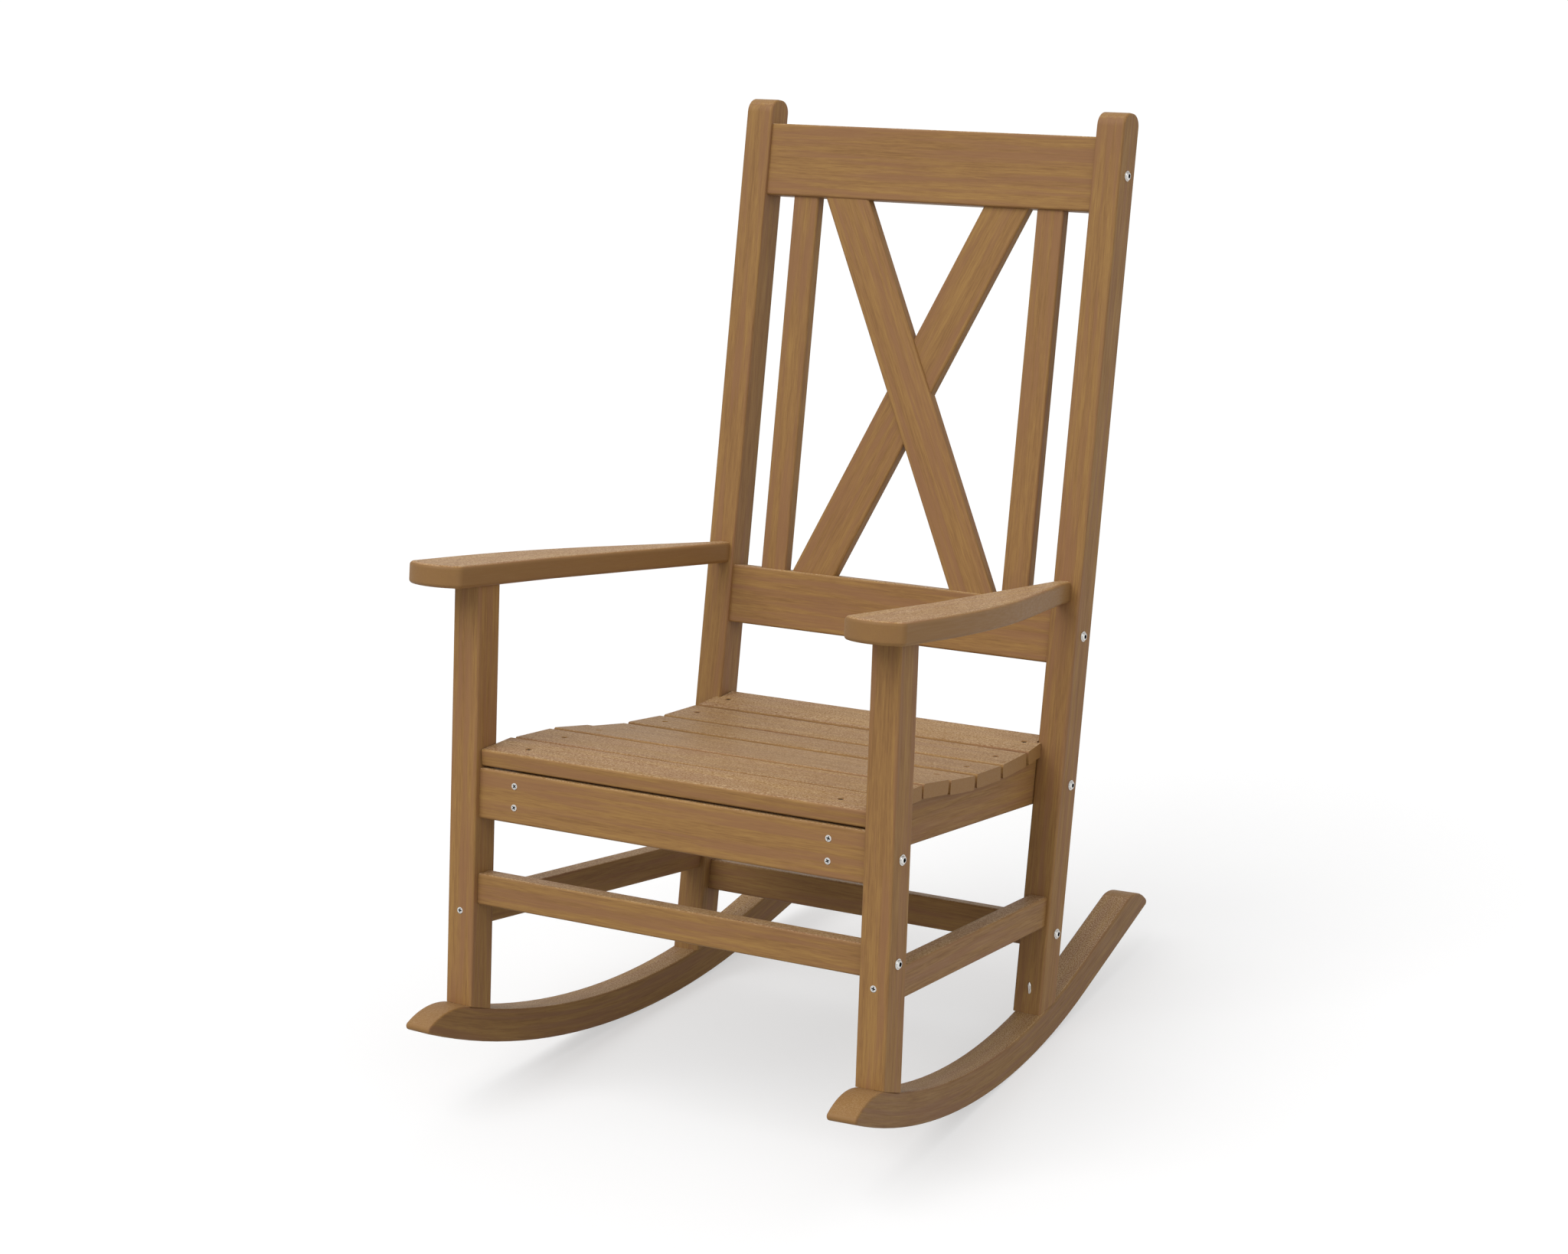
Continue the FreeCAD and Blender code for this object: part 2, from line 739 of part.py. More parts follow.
# %% Rails between the legs
def across_legs(label, set_back, low, high):
    sizes = (set_back, low, set_back + " + dims.rail_board", high)
    place = Placement(Vector(-dims.leg_inner, 0, 0), Rotation())
    return board(label, "YZ_Plane", sizes, "2 * dims.leg_inner", X_AXIS, place)


def side_stretcher(side, label):
    """Runs from the leg's rear face to the post's front face, toed in with the rocker."""
    body = new_body(label)
    lean = tangent(dims.toe_in_angle)
    across = 1 / cosine(dims.toe_in_angle)
    outer = dims.leg_inner + dims.leg_width - dims.side_stretcher_inset * across
    inner = outer - dims.rail_board * across
    front = dims.leg_depth
    rear = post_face(dims.side_stretcher_low + dims.stretcher_tall) + dims.overrun
    middle = dims.leg_depth / 2
    corners = [(side * (line - lean * (back - middle)), back)
               for line, back in ((outer, front), (outer, rear), (inner, rear), (inner, front))]
    sketch = outline(body, "plan", "XY_Plane", corners)
    pad(body, sketch, "dims.stretcher_tall")
    round_edges(body, "edges", longest_edges(body, BOARD_CORNERS), "dims.edge_round")
    place = Placement(Vector(0, 0, dims.side_stretcher_low), Rotation())
    cut = outline(body, "rear_end", "YZ_Plane", BEHIND_POST_FACE, offset_in_body(place, BACK))
    cut_through(body, cut)
    put(body, place)
    return body


# %% Fasteners
# Every fastener is drawn with its head at z = 0, looking up, and its shank going down.
def turned_profile(body, points):
    sketch = outline(body, "half", "XZ_Plane", points)
    feature = body.newObject("PartDesign::Revolution", body.Label + "_turned")
    feature.Profile = sketch
    feature.ReferenceAxis = (sketch, ["V_Axis"])
    feature.Angle = FULL_TURN
    sketch.Visibility = False
    doc.recompute()
    return feature


def bolt_pattern_piece():
    """Button-headed frame bolt with a washer face and a hexagon socket."""
    body = new_body("frame_bolt")
    half_head = "dims.bolt_head / 2"
    half_shank = "dims.bolt_shank / 2"
    turned_profile(body, [
        (0, "dims.bolt_head_tall"),
        ("dims.bolt_crown / 2", "dims.bolt_head_tall"),
        ("dims.bolt_shoulder / 2", "dims.bolt_shoulder_tall"),
        (half_head, "dims.bolt_washer_tall"),
        (half_head, 0),
        (half_shank, 0),
        (half_shank, "-dims.leg_width - dims.bolt_grip"),
        (0, "-dims.leg_width - dims.bolt_grip"),
    ])
    turns = [index * FULL_TURN / HEXAGON_SIDES for index in range(HEXAGON_SIDES)]
    corner = dims.bolt_socket / 2 / cosine(turns[1] / 2)
    hexagon = [(corner * cosine(turn), corner * sine(turn)) for turn in turns]
    lift = Placement(Vector(0, 0, dims.bolt_head_tall), Rotation())
    sketch = outline(body, "socket", "XY_Plane", hexagon, lift)
    sink(body, sketch, "dims.bolt_socket_deep")
    return body


def sink(body, sketch, deep):
    """Pockets a sketch down into the piece and checks that it took something."""
    before = body.Shape.Volume
    feature = body.newObject("PartDesign::Pocket", sketch.Name + "_cut")
    feature.Profile = sketch
    feature.Length = number_of(deep)
    feature.setExpression("Length", deep)
    doc.recompute()
    if not body.Shape.Volume < before:
        raise ValueError(body.Label + " lost nothing to " + sketch.Name)


def screw_blank(label, length):
    """Countersunk screw before its cross recess, which is also the shape of its hole."""
    body = new_body(label)
    half_shank = "dims.screw_shank / 2"
    turned_profile(body, [
        (0, 0),
        ("dims.screw_head / 2", 0),
        (half_shank, "-dims.screw_sink"),
        (half_shank, "-(%s) + dims.screw_shank" % length),
        (0, "-(%s)" % length),
    ])
    return body


def screw_piece(label, length):
    """Countersunk screw with a cross recess."""
    body = screw_blank(label, length)
    arm_half = dims.screw_cross / 2
    slot = dims.screw_cross_wide / 2
    plus = [(slot, -arm_half), (slot, -slot), (arm_half, -slot), (arm_half, slot), (slot, slot),
            (slot, arm_half), (-slot, arm_half), (-slot, slot), (-arm_half, slot), (-arm_half, -slot),
            (-slot, -slot), (-slot, -arm_half)]
    sketch = outline(body, "cross", "XY_Plane", plus)
    sink(body, sketch, "dims.screw_cross_deep")
    return body


def dowel_piece():
    """Double-ended screw that stays hidden between a leg or post and the arm."""
    body = new_body("dowel_screw")
    half = "dims.dowel_round / 2"
    turned_profile(body, [
        (0, "dims.dowel_in_arm"),
        (half, "dims.dowel_in_arm - dims.dowel_round / 2"),
        (half, "dims.dowel_in_arm - dims.dowel_long + dims.dowel_round / 2"),
        (0, "dims.dowel_in_arm - dims.dowel_long"),
    ])
    return body


def group(label, piece, places):
    """One node that holds the same fastener at several places."""
    copies = []
    for index, place in enumerate(places):
        copy = doc.addObject("App::Link", "%s_%d" % (label, index + 1))
        copy.LinkedObject = piece
        copy.LinkTransform = False
        copy.Placement = REST.multiply(place)
        copies.append(copy)
    node = doc.addObject("Part::Compound", "Group_" + label)
    node.Links = copies
    node.Label = label
    return node


def facing(direction, base):
    """Placement with its z axis along a direction."""
    return Placement(base, Rotation(Z_AXIS, direction))


def frame_bolt_places():
    places = []
    for side in (-1, 1):
        outward = Vector(side, 0, 0)
        leg_face = side * (dims.leg_inner + dims.leg_width)
        for back, low, up in (
                (dims.apron_bolt_back, dims.apron_low, dims.apron_bolt_up),
                (dims.front_stretcher_bolt_back, dims.front_stretcher_low, dims.front_stretcher_bolt_up)):
            places.append(facing(outward, Vector(leg_face, back, low + up)))
        post_outer = side * (dims.post_inner + dims.leg_width)
        for low, up, into in (
                (number_of(TOP_RAIL_LOW), dims.top_rail_bolt_up, dims.back_rail_bolt_back),
                (dims.lower_rail_low, dims.lower_rail_bolt_up, dims.back_rail_bolt_back),
                (up_the_posts(dims.seat_rail_low), dims.seat_rail_bolt_up, dims.low_rail_bolt_back),
                (dims.rear_stretcher_low, dims.rear_stretcher_bolt_up, dims.low_rail_bolt_back)):
            places.append(BACK.multiply(facing(outward, Vector(post_outer, into, low + up))))
    return places


def slat_screw_places():
    places = []
    for number in range(1, SLAT_COUNT + 1):
        for side in (-1, 1):
            spot = Vector(side * dims.slat_screw_across, 0, 0)
            places.append(slat_frame(number).multiply(Placement(spot, Rotation())))
    return places


def apron_screw_places():
    forward = Vector(0, -1, 0)
    return [facing(forward, Vector(side * dims.apron_screw_across, dims.apron_back, high))
            for side in (-1, 1) for high in (dims.apron_screw_low, dims.apron_screw_high)]


def leg_screw_places():
    forward = Vector(0, -1, 0)
    return [facing(forward, Vector(side * dims.leg_screw_across, 0, dims.leg_screw_high)) for side in (-1, 1)]


def rail_screw_places():
    """Through the rear seat rail into the rear ends of the side seat rails."""
    into = dims.low_rail_set_back + dims.rail_board
    across = dims.post_inner - dims.seat_rail_thick / 2
    return [BACK.multiply(facing(Vector(0, 1, 0), Vector(side * across, into, along)))
            for side in (-1, 1) for along in (dims.rail_screw_high_1, dims.rail_screw_high_2)]


def rocker_screw_places():
    """Up through each rocker, into the feet of the leg and the post."""
    places = []
    radius = dims.rocker_radius
    for side in (-1, 1):
        middle = -side * dims.leg_width / 2
        post_middle = dims.post_start + dims.leg_depth / 2
        for back in (dims.leg_depth / 2, post_middle):
            turn = math.asin((back - dims.rocker_centre_back) / radius)
            spot = Vector(middle, dims.rocker_centre_back + radius * math.sin(turn),
                          rocker_centre_height() - radius * math.cos(turn))
            outward = Vector(0, math.sin(turn), -math.cos(turn))
            places.append(side_frame(side).multiply(facing(outward, spot)))
    return places


def dowel_places():
    """Up into each arm from its leg, and forward into its rear end from the post."""
    places = []
    for side in (-1, 1):
        across = side * (dims.leg_inner + dims.leg_width / 2)
        back = dims.leg_depth / 2
        places.append(turned(X_AXIS, -dims.arm_fall_angle, Vector(across, back, arm_underside(back))))
        post_middle = side * (dims.post_inner + dims.leg_width / 2)
        middle_height = dims.arm_height - dims.arm_thick / 2 - post_face(dims.arm_height) * tangent(dims.arm_fall_angle)
        seat = Vector(post_middle, post_face(middle_height), middle_height)
        places.append(facing(Vector(0, -1, tangent(dims.arm_fall_angle)), seat))
    return places


def brace_screw_places():
    """From behind, where the two brace members cross."""
    foot = number_of(LOWER_RAIL_HIGH)
    slope = (brace_foot_reach() + dims.brace_high_reach) / (number_of(TOP_RAIL_LOW) - foot)
    high = foot + (brace_foot_reach() + dims.brace_level_width / 2) / slope
    into = dims.brace_rear_set_back + dims.brace_thick
    return [BACK.multiply(facing(Vector(0, 1, 0), Vector(0, into, high)))]


# %% Joinery between pieces
def less(label, base, tools):
    """The final piece: a body less the fasteners and tenons that go into it."""
    base.Label = label + "_whole"
    cutter = tools[0]
    if len(tools) > 1:
        cutter = doc.addObject("Part::MultiFuse", "Cutter_" + label)
        cutter.Shapes = tools
    node = doc.addObject("Part::Cut", "Cut_" + label)
    node.Base = base
    node.Tool = cutter
    node.Label = label
    return node


# %% Assembly
SIDES = {"left": -1, "right": 1}
bolt = bolt_pattern_piece()
dowel = dowel_piece()

bolts = group("frame_bolts", bolt, frame_bolt_places())
dowels = group("arm_dowel_screws", dowel, dowel_places())
nodes = [bolts, dowels]


def screws(label, length, places):
    """Adds a node of screws and gives the group of the holes that they need."""
    nodes.append(group(label, screw_piece(label + "_piece", length), places))
    return group(label + "_holes", screw_blank(label + "_blank", length), places)


slat_holes = screws("slat_screws", "dims.slat_screw_long", slat_screw_places())
apron_holes = screws("apron_screws", "dims.apron_screw_long", apron_screw_places())
leg_holes = screws("leg_screws", "dims.leg_screw_long", leg_screw_places())
rail_holes = screws("rear_rail_screws", "dims.rail_screw_long", rail_screw_places())
rocker_holes = screws("rocker_screws", "dims.rocker_screw_long", rocker_screw_places())
brace_holes = screws("x_brace_screw", "dims.brace_screw_long", brace_screw_places())


for name, side in SIDES.items():
    nodes.append(less("rocker_" + name, rocker(side, "rocker_" + name), [rocker_holes]))
    leg = front_leg(side, "front_leg_" + name)
    nodes.append(less("front_leg_" + name, leg, [bolts, leg_holes, rocker_holes, dowels]))
    post = back_post(side, "back_post_" + name)
    nodes.append(less("back_post_" + name, post, [bolts, rocker_holes, dowels]))
    nodes.append(less("arm_" + name, arm(side, "arm_" + name), [dowels]))
    rail = side_seat_rail(side, "side_seat_rail_" + name)
    nodes.append(less("side_seat_rail_" + name, rail, [slat_holes, apron_holes, rail_holes]))
    stretcher = side_stretcher(side, "side_stretcher_" + name)
    nodes.append(less("side_stretcher_" + name, stretcher, [leg_holes]))

slats = [seat_slat(number) for number in range(1, SLAT_COUNT + 1)]
for number, slat in enumerate(slats, start=1):
    nodes.append(less("seat_slat_%d" % number, slat, [slat_holes]))

upright = {name: back_slat(side, "back_slat_" + name) for name, side in SIDES.items()}
front_brace = brace(1, "x_brace_front", "dims.brace_front_set_back")
rear_brace = brace(-1, "x_brace_rear", "dims.brace_rear_set_back")
lap = doc.addObject("Part::Box", "Lap_depth")
lap.setExpression("Length", "2 * dims.post_inner")
lap.setExpression("Width", "dims.brace_thick")
lap.setExpression("Height", "dims.post_length")
lap_depth = dims.brace_rear_set_back + dims.brace_thick / 2
put(lap, BACK.multiply(Placement(Vector(-dims.post_inner, lap_depth, 0), Rotation())))
behind_lap = doc.addObject("Part::Common", "Behind_lap")
behind_lap.Base = rear_brace
behind_lap.Tool = lap
front_brace_lapped = less("x_brace_front", front_brace, [behind_lap, brace_holes])
rear_brace_lapped = less("x_brace_rear", rear_brace, [front_brace_lapped, brace_holes])
nodes += list(upright.values()) + [front_brace_lapped, rear_brace_lapped]
tenoned = list(upright.values()) + [front_brace, rear_brace, bolts]
top_rail = across_posts("top_rail", "dims.back_rail_set_back", "dims.back_rail_thick",
                        TOP_RAIL_LOW, TOP_RAIL_HIGH)
lower_rail = across_posts("lower_back_rail", "dims.back_rail_set_back", "dims.back_rail_thick",
                          "dims.lower_rail_low", LOWER_RAIL_HIGH)
nodes.append(less("top_rail", top_rail, tenoned))
nodes.append(less("lower_back_rail", lower_rail, tenoned))
nodes.append(less("rear_seat_rail", rear_seat_rail(), [bolts, rail_holes]))
rear_stretcher = across_posts("rear_stretcher", "dims.low_rail_set_back", "dims.rail_board",
                              "dims.rear_stretcher_low", "dims.rear_stretcher_low + dims.rear_stretcher_tall")
nodes.append(less("rear_stretcher", rear_stretcher, [bolts]))
apron = across_legs("front_apron", "dims.apron_back", "dims.apron_low", "dims.apron_high")
nodes.append(less("front_apron", apron, [bolts, apron_holes]))
front_stretcher = across_legs("front_stretcher", "dims.front_stretcher_back", "dims.front_stretcher_low",
                              "dims.front_stretcher_low + dims.stretcher_tall")
nodes.append(less("front_stretcher", front_stretcher, [bolts]))
doc.recompute()

# %% Check and write
for thing in doc.Objects:
    if "Invalid" in thing.State or "Error" in thing.State:
        raise RuntimeError("%s is %s" % (thing.Label, thing.State))
for node in nodes:
    if node.Shape.isNull() or not node.Shape.isValid():
        raise RuntimeError(node.Label + " has no valid shape")

os.makedirs("parts", exist_ok=True)
for node in nodes:
    node.Shape.exportStep(os.path.join("parts", node.Label + ".step"))
    print(node.Label, len(node.Shape.Solids), round(node.Shape.Volume, 1))
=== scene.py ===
# %% [markdown]
# # A porch rocking chair of moulded lumber
# The chair is bolted together from straight boards: legs, posts, rails, seat slats and a crossed back, on
# two curved rockers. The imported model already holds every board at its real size, so this script never
# moves one. It dresses each board with a finish, turns the bolts and screws, and lights the chair as in a
# plain studio.

import math
import random

import bmesh
import bpy
from mathutils import Euler, Matrix, Vector


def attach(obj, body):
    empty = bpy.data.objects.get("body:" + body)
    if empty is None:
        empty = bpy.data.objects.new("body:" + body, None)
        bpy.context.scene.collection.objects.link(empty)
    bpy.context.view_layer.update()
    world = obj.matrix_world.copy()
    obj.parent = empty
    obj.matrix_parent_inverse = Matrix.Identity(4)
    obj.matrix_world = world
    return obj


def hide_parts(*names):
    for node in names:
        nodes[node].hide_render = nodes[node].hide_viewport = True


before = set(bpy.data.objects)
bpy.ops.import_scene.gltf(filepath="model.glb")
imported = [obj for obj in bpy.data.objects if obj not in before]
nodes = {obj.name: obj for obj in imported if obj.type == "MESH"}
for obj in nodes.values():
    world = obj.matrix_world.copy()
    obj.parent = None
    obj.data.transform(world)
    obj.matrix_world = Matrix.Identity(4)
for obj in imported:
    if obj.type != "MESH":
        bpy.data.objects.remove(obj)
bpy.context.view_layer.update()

# %% [markdown]
# ## Two ways of standing
# The chair's boards are easiest to describe with the chair upright: its front legs plumb, their front faces
# at y = 0 and the rockers' top at z = 0 there. Left alone on a floor it rocks back to its rest tilt, which
# is how the model stands. In the photograph it stands a little further forward. One matrix leads from the
# upright chair to the resting one, and whatever was measured in the photograph goes through it. Here and
# below, angles are written in degrees and lengths in metres.

# %% Upright and at rest
REST_TILT = 9.45
PHOTO_TILT = 3.72
REST_BACK = -0.35717
REST_RAISE = 0.12567

to_rest = (Matrix.Translation((0, REST_BACK, REST_RAISE))
           @ Matrix.Rotation(math.radians(-REST_TILT), 4, "X"))
from_photo = to_rest @ Matrix.Rotation(math.radians(PHOTO_TILT), 4, "X")
print("the chair rests", round(REST_TILT - PHOTO_TILT, 2), "degrees further back than in the photograph")

# %% [markdown]
# ## The camera
# A photograph can be matched by hand, by sliding a camera until it looks right, or by measuring. Here the
# straight edges of the legs, posts and rails gave the lens and the place of the camera, so they are plain
# values. In the photograph the camera looked down a little and had no roll. It keeps its place to the
# chair, so here it tips back together with it.

# %% Camera
IMAGE_WIDTH_PIXELS = 2048
FOCAL_PIXELS = 4533.3
SENSOR_WIDTH_MM = 36.0
CAMERA_PLACE = Vector((2.16904, -3.27977, 1.11530))
CAMERA_PITCH = -12.0363
CAMERA_YAW = 31.9095

camera_data = bpy.data.cameras.new("studio_camera")
camera_data.sensor_width = SENSOR_WIDTH_MM
camera_data.lens = FOCAL_PIXELS / IMAGE_WIDTH_PIXELS * SENSOR_WIDTH_MM
camera = bpy.data.objects.new("studio_camera", camera_data)
camera_turn = Euler((math.radians(90 + CAMERA_PITCH), 0, math.radians(CAMERA_YAW))).to_matrix()
camera.matrix_world = Matrix.LocRotScale(to_rest @ CAMERA_PLACE, from_photo.to_3x3() @ camera_turn, None)
bpy.context.scene.collection.objects.link(camera)
bpy.context.scene.camera = camera
print("lens", round(camera_data.lens, 2), "mm")

# %% [markdown]
# ## Which way each board's grain runs
# Moulded lumber is pushed through a die, so its streaks run along the board. A pattern on plain object
# coordinates would cross half of the boards, so every board gets its own three directions: along the board,
# and two across it. The chair leans back at rest, and its back leans more, so the directions are worked out
# from those two angles. On a rocker the streaks follow the curve, and go straight on in its heel.

# %% Directions of the boards
POST_LEAN = 6.0
ARM_FALL = 2.11
TOE_IN = 4.47
BRACE_ANGLE = 25.7
LEG_OUTER = 0.3076
LEG_MIDDLE_BACK = 0.0208
ROCKER_RADIUS = 0.9613
ROCKER_CENTRE_BACK = 0.2506
ROCKER_CENTRE_HEIGHT = 0.8886
STRAIGHT_HEEL_BACK = 0.587
STRAIGHT_HEEL_TOP = 0.166
HEEL_ANGLE = math.asin((STRAIGHT_HEEL_BACK - ROCKER_CENTRE_BACK) / ROCKER_RADIUS)
# The rocker's two sawn ends lie beyond these places, counted along its curve from below the centre.
TOE_END = -0.270
HEEL_END = HEEL_ANGLE * ROCKER_RADIUS + STRAIGHT_HEEL_TOP


def leaning(degrees, sideways=0.0):
    """Direction up a board that leans back, turned sideways within its own plane."""
    side = math.radians(sideways)
    lean = math.radians(degrees)
    return Vector((math.sin(side), math.cos(side) * math.sin(lean), math.cos(side) * math.cos(lean)))


def running_back(fall, toe=0.0):
    """Direction of a board that runs to the rear, falling and toed in."""
    turn = math.radians(toe)
    drop = math.radians(fall)
    return Vector((math.sin(turn), math.cos(turn) * math.cos(drop), -math.cos(turn) * math.sin(drop)))


ACROSS = Vector((1, 0, 0))
BACK_LEAN = REST_TILT + POST_LEAN
GRAIN_DIRECTIONS = {
    "front_leg_left": leaning(REST_TILT),
    "front_leg_right": leaning(REST_TILT),
    "back_post_left": leaning(BACK_LEAN),
    "back_post_right": leaning(BACK_LEAN),
    "back_slat_left": leaning(BACK_LEAN),
    "back_slat_right": leaning(BACK_LEAN),
    "x_brace_front": leaning(BACK_LEAN, -BRACE_ANGLE),
    "x_brace_rear": leaning(BACK_LEAN, BRACE_ANGLE),
    "arm_left": running_back(REST_TILT + ARM_FALL),
    "arm_right": running_back(REST_TILT + ARM_FALL),
    "side_seat_rail_left": running_back(REST_TILT),
    "side_seat_rail_right": running_back(REST_TILT),
    "side_stretcher_left": running_back(REST_TILT, TOE_IN),
    "side_stretcher_right": running_back(REST_TILT, -TOE_IN),
}


def rocker_frame(side):
    """Leads from the resting chair to the toed-in rocker: y runs back, z up from its curve's centre."""
    pivot = Matrix.Translation((side * LEG_OUTER, LEG_MIDDLE_BACK, 0))
    toed_in = pivot @ Matrix.Rotation(side * math.radians(TOE_IN), 4, "Z")
    centre = Matrix.Translation((0, ROCKER_CENTRE_BACK - LEG_MIDDLE_BACK, ROCKER_CENTRE_HEIGHT))
    return (to_rest @ toed_in @ centre).inverted()


ROCKERS = {"rocker_left": rocker_frame(-1), "rocker_right": rocker_frame(1)}
PLAIN_FASTENERS = ("rear_rail_screws", "rocker_screws", "x_brace_screw", "arm_dowel_screws")
FASTENERS = ("frame_bolts", "slat_screws", "apron_screws", "leg_screws") + PLAIN_FASTENERS
BOARDS = sorted(name for name in nodes if name not in FASTENERS)
print(len(BOARDS), "boards and", len(FASTENERS), "kinds of fastener")

# %% [markdown]
# ## Dressing a board
# The imported boards are loose triangles. A copy is merged, its flat faces are joined again, and its sawn
# edges are broken by a fine bevel, as a saw and a light sanding leave them. The copy also carries three
# attributes for the finish: "grain", the place of each point along and across its own board, "sawn", which
# marks the faces that a saw or router has cut through the moulded skin, and one of tone and painted shade.
# In that one each board has a random tone, since no two boards are equally dark. The rockers also carry a
# painted shade, deeper on their sides, and so do the arms' edges, while the arms' tops and undersides carry
# a painted light, for how the light falls on them.

# %% Board helper
MERGE_DISTANCE = 1e-6
FLAT_ANGLE = math.radians(0.2)
SHARP_ANGLE = math.radians(38)
BROKEN_EDGE = 0.0007
BROKEN_EDGE_SEGMENTS = 2
LARGE_FACES_WEIGHT = 100
BOARD_SPACING = 3.7
ROCKER_CUT_STEP = math.radians(1.5)
ROCKER_CUTS_EACH_WAY = 24
STEEP = 0.9
SIDEWAYS = 0.6
# Painted shade on the rockers, deeper on their sides, and on the arms' edges; painted light on the arms'
# tops and undersides.
ROCKER_SIDE_PAINTED_SHADE = 0.84
ROCKER_TOP_PAINTED_SHADE = 0.95
ARM_EDGE_PAINTED_SHADE = 0.90
ARM_TOP_PAINTED_LIGHT = 1.14
BOARD_SHADE_SPREAD = 0.06
SHADE_SEED = 4
shades = random.Random(SHADE_SEED)


def grain_axes(along):
    """Three directions at right angles, the first along the board."""
    guide = Vector((0, 0, 1)) if abs(along.z) < STEEP else Vector((1, 0, 0))
    beside = along.cross(guide).normalized()
    return along, beside, along.cross(beside)


def grain_at(name, point):
    """Place of a point along and across its own board."""
    if name in ROCKERS:
        across, back, up = ROCKERS[name] @ point
        angle = min(math.atan2(back, -up), HEEL_ANGLE)
        past_curve = back * math.cos(angle) + up * math.sin(angle)
        from_centre = back * math.sin(angle) - up * math.cos(angle)
        return Vector((angle * ROCKER_RADIUS + past_curve, from_centre, across))
    axes = grain_axes(GRAIN_DIRECTIONS.get(name, ACROSS))
    return Vector([point.dot(axis) for axis in axes])


def cut_across(shape, name):
    """Cuts a rocker's long faces square to its curve, so that the grain can follow the curve."""
    to_resting = ROCKERS[name].inverted()
    for step in range(-ROCKER_CUTS_EACH_WAY, ROCKER_CUTS_EACH_WAY + 1):
        angle = step * ROCKER_CUT_STEP
        square = to_resting.to_3x3() @ Vector((0, math.cos(angle), math.sin(angle)))
        everything = shape.verts[:] + shape.edges[:] + shape.faces[:]
        bmesh.ops.bisect_plane(shape, geom=everything, dist=MERGE_DISTANCE,
                               plane_co=to_resting.translation, plane_no=square)


def merged_copy(name):
    """A copy of a CAD node with its triangles merged and its flat faces joined."""
    mesh = nodes[name].data.copy()
    mesh.name = name + "_board"
    shape = bmesh.new()
    shape.from_mesh(mesh)
    bmesh.ops.remove_doubles(shape, verts=shape.verts, dist=MERGE_DISTANCE)
    bmesh.ops.dissolve_limit(shape, angle_limit=FLAT_ANGLE, verts=shape.verts, edges=shape.edges)
    if name in ROCKERS:
        cut_across(shape, name)
    for face in shape.faces:
        face.smooth = True
    shape.to_mesh(mesh)
    shape.free()
    mesh.materials.clear()
    return mesh


def cut_and_painted_light(name, centre, normal):
    """Whether a face was cut through the skin, and its painted shade or painted light beside the boards'
    front faces.
    """
    if name in ROCKERS:
        if abs(normal.x) > SIDEWAYS:
            return 0.0, ROCKER_SIDE_PAINTED_SHADE
        along = grain_at(name, centre)[0]
        return float(along < TOE_END or along > HEEL_END), ROCKER_TOP_PAINTED_SHADE
    if name.startswith("arm"):
        arm_up = leaning(REST_TILT + ARM_FALL)
        return (1.0, ARM_EDGE_PAINTED_SHADE) if abs(normal.dot(arm_up)) < SIDEWAYS else (0.0, ARM_TOP_PAINTED_LIGHT)
    along = GRAIN_DIRECTIONS.get(name, ACROSS)
    return float(abs(normal.dot(along)) > SIDEWAYS), 1.0


def add_grain(mesh, name, number):
    """Writes the grain and sawn attributes and the tone and painted shade, which is each board's random
    tone times its faces' painted shade or light; every board starts elsewhere in the pattern.
    """
    start = Vector((number * BOARD_SPACING, number * BOARD_SPACING / 2, 0))
    board_shade = 1 + BOARD_SHADE_SPREAD * (shades.random() - 0.5)
    grain = mesh.attributes.new("grain", "FLOAT_VECTOR", "POINT")
    for vertex in mesh.vertices:
        grain.data[vertex.index].vector = grain_at(name, vertex.co) + start
    sawn = mesh.attributes.new("sawn", "FLOAT", "FACE")
    tone_and_painted_shade = mesh.attributes.new("tone_and_painted_shade", "FLOAT", "FACE")
    for face in mesh.polygons:
        cut, painted_level = cut_and_painted_light(name, face.center, face.normal)
        sawn.data[face.index].value = cut
        tone_and_painted_shade.data[face.index].value = painted_level * board_shade


def dress(name, number):
    """Lays the finished copy of one board over its CAD node."""
    mesh = merged_copy(name)
    add_grain(mesh, name, number)
    piece = bpy.data.objects.new(name + "_board", mesh)
    bpy.context.scene.collection.objects.link(piece)
    bevel = piece.modifiers.new("broken_edge", "BEVEL")
    bevel.limit_method = "ANGLE"
    bevel.angle_limit = SHARP_ANGLE
    bevel.width = BROKEN_EDGE
    bevel.segments = BROKEN_EDGE_SEGMENTS
    weighted = piece.modifiers.new("even_shading", "WEIGHTED_NORMAL")
    weighted.weight = LARGE_FACES_WEIGHT
    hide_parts(name)
    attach(piece, "root")
    return piece


boards = [dress(name, number) for number, name in enumerate(BOARDS)]
print("dressed", len(boards), "boards,", sum(len(board.data.polygons) for board in boards), "faces")

# %% [markdown]
# ## The lumber's pattern
# Seen close, the boards are a warm brown with fine streaks some millimetres wide and some centimetres long,
# that shade between golden and purple brown, over broader soft bands. Faces that lie upwards get a painted
# sheen in a sandy colour, for the light that they catch, broken into grains by the fine dimples of the
# moulded skin and gathered in patches. One node group makes all of these as grey masks, so that the
# material only has to colour them.

# %% Pattern group
# Length, width and depth of each mask's spots, and how many layers of finer noise it has.
MASKS = {
    "Streaks": ((0.055, 0.0022, 0.0022), 3.0),
    "Fine": ((0.016, 0.0008, 0.0008), 2.0),
    "Bands": ((0.40, 0.011, 0.011), 1.0),
    "Tint": ((0.20, 0.008, 0.010), 2.0),
    "Speckle": ((0.0024, 0.0013, 0.0013), 2.0),
    "Patches": ((0.05, 0.012, 0.012), 2.0),
}
NOISE_ROUGHNESS = 0.55
COLUMN_WIDTH = 200
ROW_HEIGHT = 220


def add_socket(group, name, kind, way):
    """Gives a node group one named input or output."""
    group.interface.new_socket(name, in_out=way, socket_type=kind)


